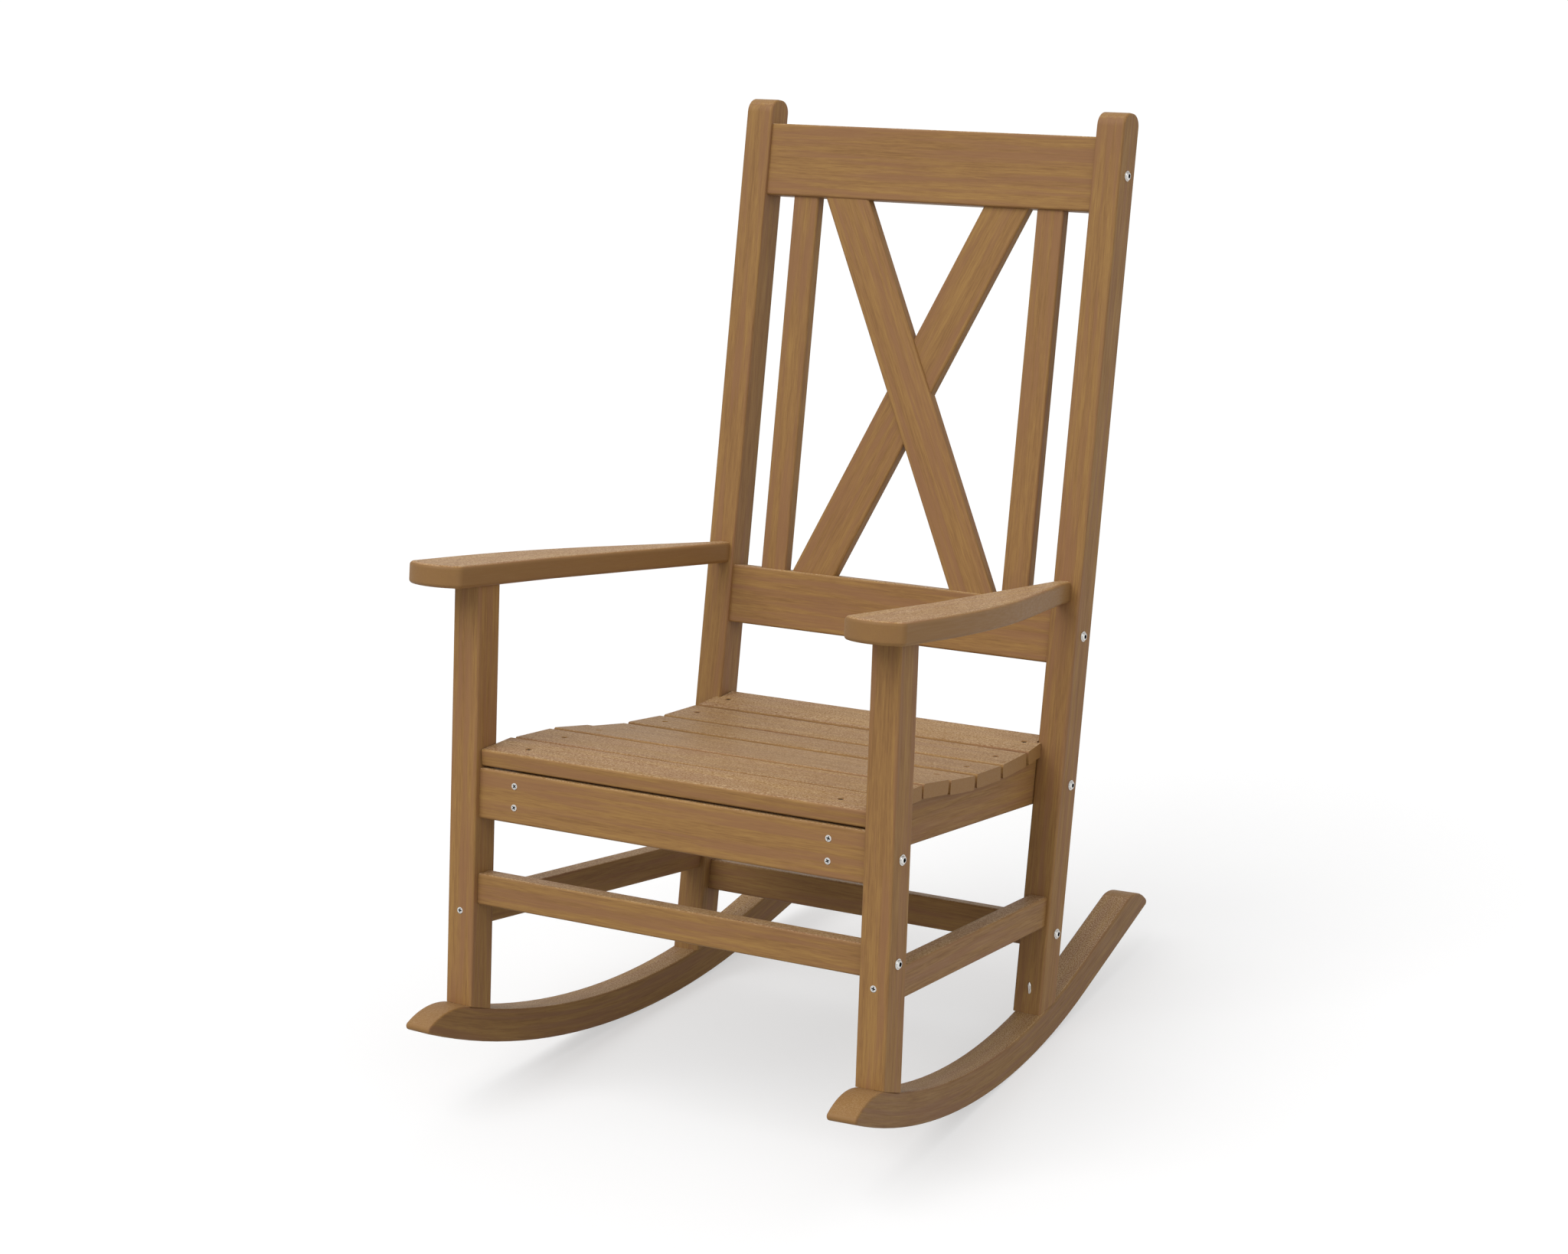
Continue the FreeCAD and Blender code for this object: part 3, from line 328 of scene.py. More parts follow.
def stretched_noise(group, source, row, sizes, detail):
    """Noise on the grain vector, stretched to a length and a width."""
    stretch = group.nodes.new("ShaderNodeVectorMath")
    stretch.operation = "DIVIDE"
    stretch.inputs[1].default_value = sizes
    stretch.location = (-COLUMN_WIDTH, -ROW_HEIGHT * row)
    group.links.new(source, stretch.inputs[0])
    noise = group.nodes.new("ShaderNodeTexNoise")
    noise.noise_dimensions = "3D"
    noise.inputs["Scale"].default_value = 1.0
    noise.inputs["Detail"].default_value = detail
    noise.inputs["Roughness"].default_value = NOISE_ROUGHNESS
    noise.location = (0, -ROW_HEIGHT * row)
    group.links.new(stretch.outputs[0], noise.inputs["Vector"])
    return noise.outputs["Fac"]


pattern = bpy.data.node_groups.new("lumber_pattern", "ShaderNodeTree")
add_socket(pattern, "Grain", "NodeSocketVector", "INPUT")
group_in = pattern.nodes.new("NodeGroupInput")
group_out = pattern.nodes.new("NodeGroupOutput")
group_in.location = (-2 * COLUMN_WIDTH, 0)
group_out.location = (2 * COLUMN_WIDTH, 0)
for row, (output, (sizes, detail)) in enumerate(MASKS.items()):
    add_socket(pattern, output, "NodeSocketFloat", "OUTPUT")
    mask = stretched_noise(pattern, group_in.outputs["Grain"], row, sizes, detail)
    pattern.links.new(mask, group_out.inputs[output])
print("pattern group has", len(pattern.nodes), "nodes")

# %% [markdown]
# ## Helpers for materials
# A material is a tree of small nodes. Colours are easiest to pick off a screen, but shaders reckon in
# linear light, so one helper changes them over. The others add a sum, a change of range, a mix of two
# colours or the reading of an attribute, each in one line.

# %% Material helpers
SCREEN_LEVELS = 255
# Blender's Mix node has a pair of inputs for each kind of value, so its colours are found by number.
MIX_COLOUR_INPUTS = (6, 7)
MIX_COLOUR_OUTPUT = 2
MIX_NUMBER_INPUTS = (2, 3)


def from_screen(red, green, blue):
    """A colour as it is read off a screen, 0 to 255, as the linear colour that shaders use."""
    def linear(level):
        """The standard curve of screens: straight near black, then a power."""
        share = level / SCREEN_LEVELS
        return share / 12.92 if share <= 0.04045 else ((share + 0.055) / 1.055) ** 2.4
    return (linear(red), linear(green), linear(blue), 1.0)


def fill(tree, socket, value):
    """Links a socket to another node's output, or writes a plain value into it."""
    if hasattr(value, "node"):
        tree.links.new(value, socket)
    else:
        socket.default_value = value


def mathematics(tree, operation, first, second):
    """A Math node on two numbers or outputs."""
    node = tree.nodes.new("ShaderNodeMath")
    node.operation = operation
    fill(tree, node.inputs[0], first)
    fill(tree, node.inputs[1], second)
    return node.outputs[0]


def range_map(tree, value, low, high, to_low=0.0, to_high=1.0):
    """Maps one range of a value to another, and stops at its ends."""
    node = tree.nodes.new("ShaderNodeMapRange")
    for name, number in (("From Min", low), ("From Max", high), ("To Min", to_low), ("To Max", to_high)):
        node.inputs[name].default_value = number
    tree.links.new(value, node.inputs["Value"])
    return node.outputs[0]


def mix_colour(tree, factor, first, second):
    """A mix of two colours."""
    node = tree.nodes.new("ShaderNodeMix")
    node.data_type = "RGBA"
    fill(tree, node.inputs[0], factor)
    for number, value in zip(MIX_COLOUR_INPUTS, (first, second)):
        fill(tree, node.inputs[number], value)
    return node.outputs[MIX_COLOUR_OUTPUT]


def attribute(tree, name):
    """The outputs of a node that reads one of a mesh's attributes."""
    node = tree.nodes.new("ShaderNodeAttribute")
    node.attribute_name = name
    return node.outputs


print("screen grey 128 is", round(from_screen(128, 128, 128)[0], 3), "in linear light")

# %% [markdown]
# ## The lumber material
# The streaks and bands are added up and coloured by a ramp between three browns that match the evenly lit
# front faces. Sawn faces lose most of their streaks, because the streaks are only skin deep, and turn a
# little plainer. Faces that look upwards get the painted sandy sheen. Last, each board's own random tone,
# together with the painted shade or painted light on the rockers' and arms' faces, darkens or lightens the
# whole. The fine streaks and the dimples also lift the surface in a Bump node, so light breaks up on it.

# %% Lumber
DARK_BROWN = from_screen(128, 92, 54)
MIDDLE_BROWN = from_screen(143, 106, 61)
GOLDEN_BROWN = from_screen(155, 118, 66)
PURPLE_BROWN = from_screen(137, 98, 66)
SAWN_BROWN = from_screen(144, 107, 63)
# A painted sheen in a sandy colour, which lightens upward faces.
PAINTED_SHEEN_SANDY = from_screen(214, 186, 148)
DARK_AT = 0.20
MIDDLE_AT = 0.50
GOLDEN_AT = 0.82
# The noise hardly leaves this range, so the masks are spread over it.
NOISE_LOW = 0.3
NOISE_HIGH = 0.7
STREAKS_SHARE = 0.40
FINE_SHARE = 0.32
BANDS_SHARE = 0.28
PURPLE_RANGE = (0.46, 0.62)
PURPLE_MOST = 0.72
SAWN_PLAINNESS = 0.85
UPWARD_RANGE = (0.72, 0.96)
# How much of the painted sheen stays on sawn faces, and how its grains and patches are spread.
PAINTED_SHEEN_ON_SAWN = 0.3
SHEEN_GRAIN_RANGE = (0.42, 0.62)
SHEEN_GRAIN_MOST = 0.58
PATCH_RANGE = (0.35, 0.65)
PATCH_LEAST = 0.72
ROUGH_IN_DARK = 0.62
ROUGH_IN_GOLDEN = 0.50
SPECULAR = 0.25
DIMPLE_SHARE = 0.5
BUMP_STRENGTH = 0.35
BUMP_HEIGHT = 0.0002


def streaked_brown(tree, masks, fine):
    """The browns along the grain, plainer where the board was sawn."""
    streaks = range_map(tree, masks["Streaks"], NOISE_LOW, NOISE_HIGH, 0.0, STREAKS_SHARE)
    bands = range_map(tree, masks["Bands"], NOISE_LOW, NOISE_HIGH, 0.0, BANDS_SHARE)
    tone = mathematics(tree, "ADD", mathematics(tree, "ADD", streaks, fine), bands)
    ramp = tree.nodes.new("ShaderNodeValToRGB")
    browns = ramp.color_ramp.elements
    browns[0].position = DARK_AT
    browns[0].color = DARK_BROWN
    browns[1].position = GOLDEN_AT
    browns[1].color = GOLDEN_BROWN
    browns.new(MIDDLE_AT).color = MIDDLE_BROWN
    tree.links.new(tone, ramp.inputs[0])
    purple = range_map(tree, masks["Tint"], *PURPLE_RANGE, 0.0, PURPLE_MOST)
    colour = mix_colour(tree, purple, ramp.outputs[0], PURPLE_BROWN)
    plain = mathematics(tree, "MULTIPLY", attribute(tree, "sawn")["Fac"], SAWN_PLAINNESS)
    return mix_colour(tree, plain, colour, SAWN_BROWN)


def painted_sandy_sheen(tree, masks):
    """How much of the painted sandy sheen shows: only on upward faces, in grains, stronger in patches."""
    facing = tree.nodes.new("ShaderNodeNewGeometry")
    normal = tree.nodes.new("ShaderNodeSeparateXYZ")
    tree.links.new(facing.outputs["Normal"], normal.inputs[0])
    upward = range_map(tree, normal.outputs["Z"], *UPWARD_RANGE)
    skin = range_map(tree, attribute(tree, "sawn")["Fac"], 0.0, 1.0, 1.0, PAINTED_SHEEN_ON_SAWN)
    sheen_speckle = range_map(tree, masks["Speckle"], *SHEEN_GRAIN_RANGE, 0.0, SHEEN_GRAIN_MOST)
    patches = range_map(tree, masks["Patches"], *PATCH_RANGE, PATCH_LEAST, 1.0)
    grains = mathematics(tree, "MULTIPLY", upward, sheen_speckle)
    return mathematics(tree, "MULTIPLY", grains, mathematics(tree, "MULTIPLY", skin, patches))


def lumber_material():
    """Streaked brown with a painted sandy sheen on upward faces, in each board's own tone and painted
    shade.
    """
    material = bpy.data.materials.new("teak_brown_lumber")
    material.use_nodes = True
    tree = material.node_tree
    shader = tree.nodes["Principled BSDF"]
    shader.inputs["Specular IOR Level"].default_value = SPECULAR
    group = tree.nodes.new("ShaderNodeGroup")
    group.node_tree = pattern
    tree.links.new(attribute(tree, "grain")["Vector"], group.inputs["Grain"])
    masks = group.outputs
    fine = range_map(tree, masks["Fine"], NOISE_LOW, NOISE_HIGH, 0.0, FINE_SHARE)

    # The painted sandy sheen is mixed over the browns on upward faces.
    colour = mix_colour(tree, painted_sandy_sheen(tree, masks), streaked_brown(tree, masks, fine), PAINTED_SHEEN_SANDY)
    # Each board's random tone, times the painted shade or painted light of its faces, darkens or lightens
    # the colour.
    shaded = tree.nodes.new("ShaderNodeVectorMath")
    shaded.operation = "SCALE"
    tree.links.new(colour, shaded.inputs[0])
    tree.links.new(attribute(tree, "tone_and_painted_shade")["Fac"], shaded.inputs["Scale"])
    tree.links.new(shaded.outputs[0], shader.inputs["Base Color"])

    roughness = range_map(tree, masks["Streaks"], NOISE_LOW, NOISE_HIGH, ROUGH_IN_DARK, ROUGH_IN_GOLDEN)
    tree.links.new(roughness, shader.inputs["Roughness"])
    dimples = mathematics(tree, "MULTIPLY", masks["Speckle"], DIMPLE_SHARE)
    bump = tree.nodes.new("ShaderNodeBump")
    bump.inputs["Strength"].default_value = BUMP_STRENGTH
    bump.inputs["Distance"].default_value = BUMP_HEIGHT
    tree.links.new(mathematics(tree, "ADD", fine, dimples), bump.inputs["Height"])
    tree.links.new(bump.outputs[0], shader.inputs["Normal"])
    return material


lumber = lumber_material()
for board in boards:
    board.data.materials.append(lumber)
print("lumber has", len(lumber.node_tree.nodes), "nodes")

# %% [markdown]
# ## Bolts and screws
# The frame bolts have low domed heads with a flange and a hexagon socket; the screws are countersunk with a
# cross. Each head is a stack of rings, which is how a lathe sees it: only the rings of the socket and of
# the cross aren't round. The floor and walls of each socket and cross carry a painted shade. The seat
# slats' screws were driven a little too deep, so they sit low in their holes, and their heads carry a
# painted shade up to a bright rim.

# %% Turned heads
MM = 0.001
RING_POINTS = 48
# How many rings from the middle of a head get the painted shade: those of the recess, and most of a sunk
# slat screw's head.
RECESS_RINGS = 2
SHADED_RINGS = 4
SMALLEST = 1e-6
HEXAGON_CORNER = math.radians(60)
BOLT_HEAD = 12.9 * MM
BOLT_TALL = 3.4 * MM
BOLT_SOCKET = 5.0 * MM
BOLT_SHANK = 6.35 * MM
BOLT_LONG = 83.1 * MM
SCREW_HEAD = 8.0 * MM
SCREW_SHANK = 4.2 * MM
SCREW_SINK = 2.4 * MM
CROSS_EDGE = 0.06 * MM
RIM_EDGE = 0.12 * MM
# Each pair is a ring: a share of the socket's or the head's half width, and a share of the head's height.
SOCKET_SHARES = ((1, 0.35), (1, 0.96), (1.08, 1))
DOME_SHARES = ((0.52, 0.985), (0.62, 0.93), (0.70, 0.83), (0.76, 0.68), (0.79, 0.50), (0.81, 0.38))
FLANGE_SHARES = ((0.97, 0.32), (1, 0.24), (1, 0))
# Half length and half width of the cross at its floor, its wall and its broken edge, as shares of the rim.
CROSS_SHARES = ((0.36, 0.11), (0.62, 0.15), (0.66, 0.19))
CROSS_DEPTH_SHARE = 0.7
FLAT_TOP_SHARE = 0.97
TIP_SHARE = 0.1


def hexagon(half_flats):
    """Radius of a hexagon in any direction."""
    def radius(angle):
        return half_flats / math.cos((angle % HEXAGON_CORNER) - HEXAGON_CORNER / 2)
    return radius


def cross(half_length, half_width):
    """Radius of an upright cross in any direction."""
    def radius(angle):
        run = max(abs(math.cos(angle)), SMALLEST)
        rise = max(abs(math.sin(angle)), SMALLEST)
        return max(min(half_length / run, half_width / rise), min(half_length / rise, half_width / run))
    return radius


def round_ring(size):
    """Radius of a round ring, the same in any direction."""
    return lambda angle: size


def ring_mesh(name, rings):
    """Closed mesh through rings of (radius by angle, height)."""
    points = []
    faces = []
    for radius, height in rings:
        for step in range(RING_POINTS):
            angle = 2 * math.pi * step / RING_POINTS
            points.append((radius(angle) * math.cos(angle), radius(angle) * math.sin(angle), height))
    for row in range(len(rings) - 1):
        for step in range(RING_POINTS):
            after = (step + 1) % RING_POINTS
            low = row * RING_POINTS
            high = low + RING_POINTS
            faces.append((low + step, high + step, high + after, low + after))
    faces.append(tuple(range(RING_POINTS)))
    faces.append(tuple(reversed(range(len(points) - RING_POINTS, len(points)))))
    mesh = bpy.data.meshes.new(name)
    mesh.from_pydata(points, [], faces)
    return mesh


def turned_mesh(name, rings, dark_rings):
    """A turned head and shank; its first rings are marked as the recess, which gets a painted shade."""
    mesh = ring_mesh(name, rings)
    shape = bmesh.new()
    shape.from_mesh(mesh)
    bmesh.ops.recalc_face_normals(shape, faces=shape.faces)
    for face in shape.faces:
        face.smooth = True
    for edge in shape.edges:
        if edge.calc_face_angle(0) > SHARP_ANGLE:
            edge.smooth = False
    shape.to_mesh(mesh)
    shape.free()
    recess = mesh.attributes.new("recess", "FLOAT", "POINT")
    for vertex in mesh.vertices:
        recess.data[vertex.index].value = float(vertex.index < dark_rings * RING_POINTS)
    return mesh


def bolt_rings():
    """From the socket's floor over the dome and the flange to the shank's end."""
    socket = [(hexagon(BOLT_SOCKET / 2 * share), BOLT_TALL * height) for share, height in SOCKET_SHARES]
    head = [(round_ring(BOLT_HEAD / 2 * share), BOLT_TALL * height)
            for share, height in DOME_SHARES + FLANGE_SHARES]
    shank = [(round_ring(BOLT_SHANK / 2), height) for height in (0, -BOLT_LONG)]
    return socket + head + shank


def screw_rings(long, sunk=0.0):
    """A countersunk screw; one driven too deep sits lower, in the narrower part of its hole."""
    half = SCREW_SHANK / 2
    rim = SCREW_HEAD / 2 + (half - SCREW_HEAD / 2) * sunk / SCREW_SINK
    cross_floor, cross_wall, cross_edge = [cross(rim * run, rim * wide) for run, wide in CROSS_SHARES]
    return [
        (cross_floor, -SCREW_SINK * CROSS_DEPTH_SHARE - sunk),
        (cross_wall, -sunk - CROSS_EDGE),
        (cross_edge, -sunk),
        (round_ring(rim * FLAT_TOP_SHARE), -sunk),
        (round_ring(rim), -sunk - RIM_EDGE),
        (round_ring(half), -SCREW_SINK - RIM_EDGE),
        (round_ring(half), -long + SCREW_SHANK),
        (round_ring(half * TIP_SHARE), -long),
    ]


print("a bolt has", len(bolt_rings()), "rings of", RING_POINTS, "points")

# %% [markdown]
# ## Where the fasteners sit
# The fasteners' places aren't typed in again. Every solid of a CAD fastener node is a separate island of
# triangles: its longest direction is its axis, and its wide end is its head.

# %% Places of the fasteners
NEAR_END_SHARE = 0.35
HEAD_BAND_SHARE = 0.12
RING_BAND_SHARE = 0.3
SORTING_DIGITS = 4


def points_middle(points):
    """Mean of some points."""
    return sum(points, Vector()) / len(points)


def box_middle(points):
    """Middle of the box around some points."""
    low = Vector([min(point[axis] for point in points) for axis in range(3)])
    high = Vector([max(point[axis] for point in points) for axis in range(3)])
    return (low + high) / 2


def rounded_middle(points):
    """Mean of some points, rounded so that solids are always sorted alike."""
    return tuple(round(value, SORTING_DIGITS) for value in points_middle(points))


def islands(name):
    """The points of each separate solid of a CAD node, in the order of their places."""
    shape = bmesh.new()
    shape.from_mesh(nodes[name].data)
    bmesh.ops.remove_doubles(shape, verts=shape.verts, dist=MERGE_DISTANCE)
    unseen = set(shape.verts)
    found = []
    while unseen:
        stack = [unseen.pop()]
        island = list(stack)
        while stack:
            for edge in stack.pop().link_edges:
                for vertex in edge.verts:
                    if vertex in unseen:
                        unseen.remove(vertex)
                        stack.append(vertex)
                        island.append(vertex)
        found.append([vertex.co.copy() for vertex in island])
    shape.free()
    return sorted(found, key=rounded_middle)


def farthest_pair(points):
    """Two far ends of an island, found by walking to the farthest point twice."""
    start = max(points, key=lambda point: (point - points[0]).length)
    end = max(points, key=lambda point: (point - start).length)
    return start, end


def rough_aim(points):
    """About the direction in which the head looks: out of the wider of the two ends."""
    first, second = farthest_pair(points)
    reach = (second - first).length
    ends = []
    for end in (first, second):
        near = [point for point in points if (point - end).length < reach * NEAR_END_SHARE]
        ends.append(points_middle(near))
    axis = (ends[0] - ends[1]).normalized()
    heights = [point.dot(axis) for point in points]
    middle = points_middle(points)
    spread = {}
    for sign, limit in ((1, max(heights)), (-1, min(heights))):
        close = [point for point in points if abs(point.dot(axis) - limit) < reach * HEAD_BAND_SHARE]
        spread[sign] = max(((point - middle) - axis * (point - middle).dot(axis)).length for point in close)
    return axis if spread[1] > spread[-1] else -axis


def exact_aim(points):
    """The line through the middles of the rings near both ends."""
    guess = rough_aim(points)
    heights = [point.dot(guess) for point in points]
    low = min(heights)
    high = max(heights)
    band = (high - low) * RING_BAND_SHARE
    top = [point for point in points if point.dot(guess) > high - band]
    bottom = [point for point in points if point.dot(guess) < low + band]
    return (box_middle(top) - box_middle(bottom)).normalized()


def fastener_points(name, head_tall):
    """A mesh of points, one under each head, with its aim."""
    places = []
    aims = []
    for points in islands(name):
        aim = exact_aim(points)
        centre = box_middle(points)
        top = max(point.dot(aim) for point in points)
        places.append(centre + aim * (top - head_tall - centre.dot(aim)))
        aims.append(aim)
    mesh = bpy.data.meshes.new(name + "_points")
    mesh.from_pydata(places, [], [])
    stored = mesh.attributes.new("aim", "FLOAT_VECTOR", "POINT")
    for index, aim in enumerate(aims):
        stored.data[index].vector = aim
    return mesh


print("frame_bolts has", len(islands("frame_bolts")), "separate solids")

# %% [markdown]
# ## One tree for all fasteners
# The fasteners repeat many times, so one Geometry Nodes tree puts a copy of its head on every point, turned
# to the direction stored on the point, with a spin of its own, as real screws stop at any angle. The tree
# has four inputs: the points, the head to copy, the material, and the seed of the spins.

# %% Geometry Nodes tree for the fasteners
SPIN_MOST_INPUT = 3
SPIN_NUMBER_OUTPUT = 1


def fastener_tree():
    """Puts the head on every point, aimed and spun, as one plain mesh with its material."""
    tree = bpy.data.node_groups.new("fasteners_on_points", "GeometryNodeTree")
    add_socket(tree, "Points", "NodeSocketGeometry", "INPUT")
    add_socket(tree, "Head", "NodeSocketObject", "INPUT")
    add_socket(tree, "Finish", "NodeSocketMaterial", "INPUT")
    add_socket(tree, "Spin Seed", "NodeSocketInt", "INPUT")
    add_socket(tree, "Fasteners", "NodeSocketGeometry", "OUTPUT")
    start = tree.nodes.new("NodeGroupInput")
    end = tree.nodes.new("NodeGroupOutput")
    head = tree.nodes.new("GeometryNodeObjectInfo")
    aim = tree.nodes.new("GeometryNodeInputNamedAttribute")
    aim.data_type = "FLOAT_VECTOR"
    aim.inputs["Name"].default_value = "aim"
    spin = tree.nodes.new("FunctionNodeRandomValue")
    spin.data_type = "FLOAT"
    spin.inputs[SPIN_MOST_INPUT].default_value = math.tau
    spin_turn = tree.nodes.new("FunctionNodeAxisAngleToRotation")
    spin_turn.inputs["Axis"].default_value = (0, 0, 1)
    align = tree.nodes.new("FunctionNodeAlignRotationToVector")
    align.axis = "Z"
    instances = tree.nodes.new("GeometryNodeInstanceOnPoints")
    realize = tree.nodes.new("GeometryNodeRealizeInstances")
    paint = tree.nodes.new("GeometryNodeSetMaterial")
    link = tree.links.new
    link(start.outputs["Head"], head.inputs["Object"])
    link(start.outputs["Spin Seed"], spin.inputs["Seed"])
    link(spin.outputs[SPIN_NUMBER_OUTPUT], spin_turn.inputs["Angle"])
    link(spin_turn.outputs[0], align.inputs["Rotation"])
    link(aim.outputs[0], align.inputs["Vector"])
    link(start.outputs["Points"], instances.inputs["Points"])
    link(head.outputs["Geometry"], instances.inputs["Instance"])
    link(align.outputs[0], instances.inputs["Rotation"])
    link(instances.outputs[0], realize.inputs[0])
    link(realize.outputs[0], paint.inputs["Geometry"])
    link(start.outputs["Finish"], paint.inputs["Material"])
    link(paint.outputs[0], end.inputs[0])
    return tree


tree_of_fasteners = fastener_tree()
print("fastener tree has", len(tree_of_fasteners.nodes), "nodes")

# %% [markdown]
# ## Steel, and the fasteners laid
# Stainless fasteners are bright but not polished, so a fine noise varies their tint and roughness, and the
# recess carries a painted shade. Each of the four kinds that show from the front and the sides becomes one
# plain mesh. The kinds at the rear, below and inside the boards keep their CAD shape and only get the
# steel.

# %% Steel and the fasteners
STEEL_GREY = from_screen(196, 194, 190)
STEEL_PALE = from_screen(222, 221, 218)
# A painted shade for the recess of the heads.
RECESS_PAINTED_SHADE = from_screen(38, 35, 32)
STEEL_NOISE_SCALE = 900.0
STEEL_SMOOTHEST = 0.24
STEEL_ROUGHEST = 0.38
SLAT_SCREW_LONG = 38 * MM
SLAT_SCREW_SUNK = 1.1 * MM
APRON_SCREW_LONG = 50 * MM
LEG_SCREW_LONG = 66 * MM


def steel_material():
    """Satin stainless steel with a faint grain, and a painted shade in the recess."""
    material = bpy.data.materials.new("satin_stainless")
    material.use_nodes = True
    tree = material.node_tree
    shader = tree.nodes["Principled BSDF"]
    shader.inputs["Metallic"].default_value = 1.0
    place = tree.nodes.new("ShaderNodeTexCoord")
    noise = tree.nodes.new("ShaderNodeTexNoise")
    noise.inputs["Scale"].default_value = STEEL_NOISE_SCALE
    tree.links.new(place.outputs["Object"], noise.inputs["Vector"])
    tint = mix_colour(tree, noise.outputs["Fac"], STEEL_GREY, STEEL_PALE)
    # The recess gets the painted shade.
    tint = mix_colour(tree, attribute(tree, "recess")["Fac"], tint, RECESS_PAINTED_SHADE)
    tree.links.new(tint, shader.inputs["Base Color"])
    rough = range_map(tree, noise.outputs["Fac"], NOISE_LOW, NOISE_HIGH, STEEL_SMOOTHEST, STEEL_ROUGHEST)
    tree.links.new(rough, shader.inputs["Roughness"])
    return material


steel = steel_material()


def lay_fasteners(name, rings, head_tall, seed, dark_rings=RECESS_RINGS):
    """Puts one turned head and shank at each place of a CAD fastener node."""
    head = bpy.data.objects.new(name + "_head", turned_mesh(name + "_head", rings, dark_rings))
    points = bpy.data.objects.new(name + "_layout", fastener_points(name, head_tall))
    for helper in (head, points):
        bpy.context.scene.collection.objects.link(helper)
    modifier = points.modifiers.new("fasteners", "NODES")
    modifier.node_group = tree_of_fasteners
    sockets = {item.name: item.identifier for item in tree_of_fasteners.interface.items_tree
               if item.in_out == "INPUT"}
    modifier[sockets["Head"]] = head
    modifier[sockets["Finish"]] = steel
    modifier[sockets["Spin Seed"]] = seed
    bpy.context.view_layer.update()
    evaluated = points.evaluated_get(bpy.context.evaluated_depsgraph_get())
    mesh = bpy.data.meshes.new_from_object(evaluated)
    mesh.name = name + "_turned"
    piece = bpy.data.objects.new(name + "_turned", mesh)
    bpy.context.scene.collection.objects.link(piece)
    for helper in (points, head):
        bpy.data.objects.remove(helper)
    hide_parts(name)
    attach(piece, "root")
    print(name, len(mesh.polygons), "faces")


lay_fasteners("frame_bolts", bolt_rings(), BOLT_TALL, seed=3)
sunk_screw = screw_rings(SLAT_SCREW_LONG, SLAT_SCREW_SUNK)
# The slat screws' heads carry the painted shade up to their rim.
lay_fasteners("slat_screws", sunk_screw, 0, seed=5, dark_rings=SHADED_RINGS)
lay_fasteners("apron_screws", screw_rings(APRON_SCREW_LONG), 0, seed=11)
lay_fasteners("leg_screws", screw_rings(LEG_SCREW_LONG), 0, seed=2)
for name in PLAIN_FASTENERS:
    nodes[name].data.materials.clear()
    nodes[name].data.materials.append(steel)
print(len(PLAIN_FASTENERS), "kinds keep their CAD shape")

# %% [markdown]
# ## Floor
# The chair stands on a white studio floor that runs out to a white background. A plain white floor under
# enough light to look white would also throw that light up at the chair. So the camera, and whatever
# mirrors the floor, see a mix of its real shaded self and an even white glow, while the light that the
# floor throws back comes from a much darker grey: the shadow stays, and the light on the chair stays plain.

# %% Floor
FLOOR_HALF = 60.0
FLOOR_GREY = (0.80, 0.80, 0.80, 1.0)
BOUNCE_GREY = (0.35, 0.35, 0.35, 1.0)
GLOW = 1.20
GLOW_SHARE = 0.42


def floor_material():
    """A matt floor that glows a little where it is seen, and throws little light back."""
    material = bpy.data.materials.new("studio_floor")
    material.use_nodes = True
    tree = material.node_tree
    tree.nodes.remove(tree.nodes["Principled BSDF"])
    output = tree.nodes["Material Output"]
    matt = tree.nodes.new("ShaderNodeBsdfDiffuse")
    matt.inputs["Color"].default_value = FLOOR_GREY
    bounce = tree.nodes.new("ShaderNodeBsdfDiffuse")
    bounce.inputs["Color"].default_value = BOUNCE_GREY
    glow = tree.nodes.new("ShaderNodeEmission")
    glow.inputs["Strength"].default_value = GLOW
    seen = tree.nodes.new("ShaderNodeMixShader")
    seen.inputs[0].default_value = GLOW_SHARE
    rays = tree.nodes.new("ShaderNodeLightPath")
    chosen = tree.nodes.new("ShaderNodeMixShader")
    tree.links.new(matt.outputs[0], seen.inputs[1])
    tree.links.new(glow.outputs[0], seen.inputs[2])
    looked_at = mathematics(tree, "MAXIMUM", rays.outputs["Is Camera Ray"], rays.outputs["Is Glossy Ray"])
    tree.links.new(looked_at, chosen.inputs[0])
    tree.links.new(bounce.outputs[0], chosen.inputs[1])
    tree.links.new(seen.outputs[0], chosen.inputs[2])
    tree.links.new(chosen.outputs[0], output.inputs["Surface"])
    return material


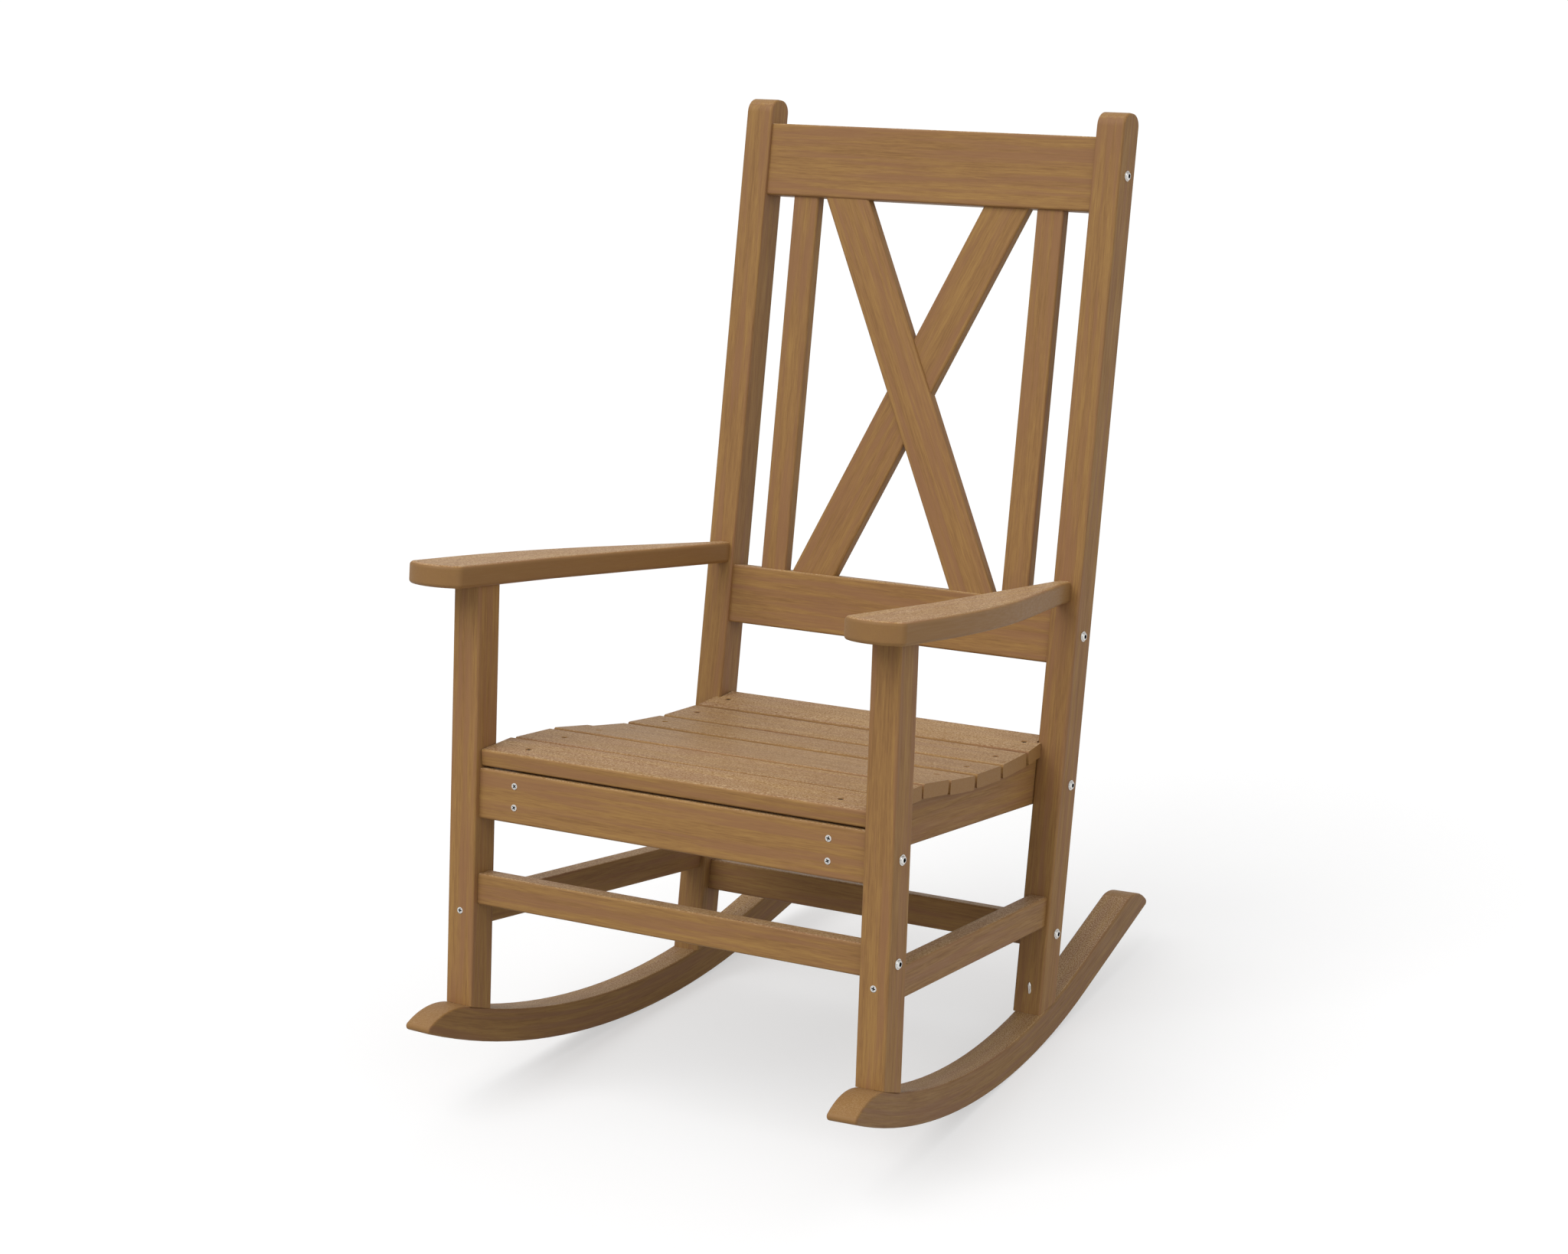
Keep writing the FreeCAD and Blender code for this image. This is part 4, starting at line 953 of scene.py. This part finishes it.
corners = [(x * FLOOR_HALF, y * FLOOR_HALF, 0) for x, y in ((-1, -1), (1, -1), (1, 1), (-1, 1))]
floor_mesh = bpy.data.meshes.new("studio_floor")
floor_mesh.from_pydata(corners, [], [(0, 1, 2, 3)])
floor_mesh.materials.append(floor_material())
studio_floor = bpy.data.objects.new("studio_floor", floor_mesh)
bpy.context.scene.collection.objects.link(studio_floor)
print("the floor is", 2 * FLOOR_HALF, "m wide")

# %% [markdown]
# ## Light
# The world is an even soft light from all sides, which the camera sees as plain white. One very wide lamp
# from the front, left and above makes the front faces brighter than the sides, and the tops brightest. A
# weaker one comes in low from the right, so that the outer right-hand faces are lit and those inside the
# chair stay darker. The lamps keep their place to the chair, as the camera does.

# %% World and lamps
WHITE = (1, 1, 1, 1)
BACKGROUND_LEVEL = 1.0
WORLD_LEVEL = 0.69
# Name, strength, angle over which the light is spread, and direction that it comes from.
LAMPS = (
    ("key_lamp", 1.72, 50.0, (-0.22, -0.62, 0.74)),
    ("side_lamp", 0.74, 60.0, (0.86, -0.42, 0.08)),
)

world = bpy.data.worlds.new("studio_world")
bpy.context.scene.world = world
world.use_nodes = True
sky = world.node_tree
background = sky.nodes["Background"]
rays = sky.nodes.new("ShaderNodeLightPath")
level = sky.nodes.new("ShaderNodeMix")
level.data_type = "FLOAT"
for number, value in zip(MIX_NUMBER_INPUTS, (WORLD_LEVEL, BACKGROUND_LEVEL)):
    level.inputs[number].default_value = value
sky.links.new(rays.outputs["Is Camera Ray"], level.inputs[0])
sky.links.new(level.outputs[0], background.inputs["Strength"])
background.inputs["Color"].default_value = WHITE

for name, power, spread, direction in LAMPS:
    lamp_data = bpy.data.lights.new(name, "SUN")
    lamp_data.energy = power
    lamp_data.angle = math.radians(spread)
    lamp = bpy.data.objects.new(name, lamp_data)
    lamp.rotation_euler = (from_photo.to_3x3() @ Vector(direction)).to_track_quat("Z", "Y").to_euler()
    bpy.context.scene.collection.objects.link(lamp)
    print(name, "shines from", direction)

# %% [markdown]
# ## The view
# The colours reach the screen through the plain view transform.

# %% View transform
bpy.context.scene.view_settings.view_transform = "Standard"
bpy.context.view_layer.update()
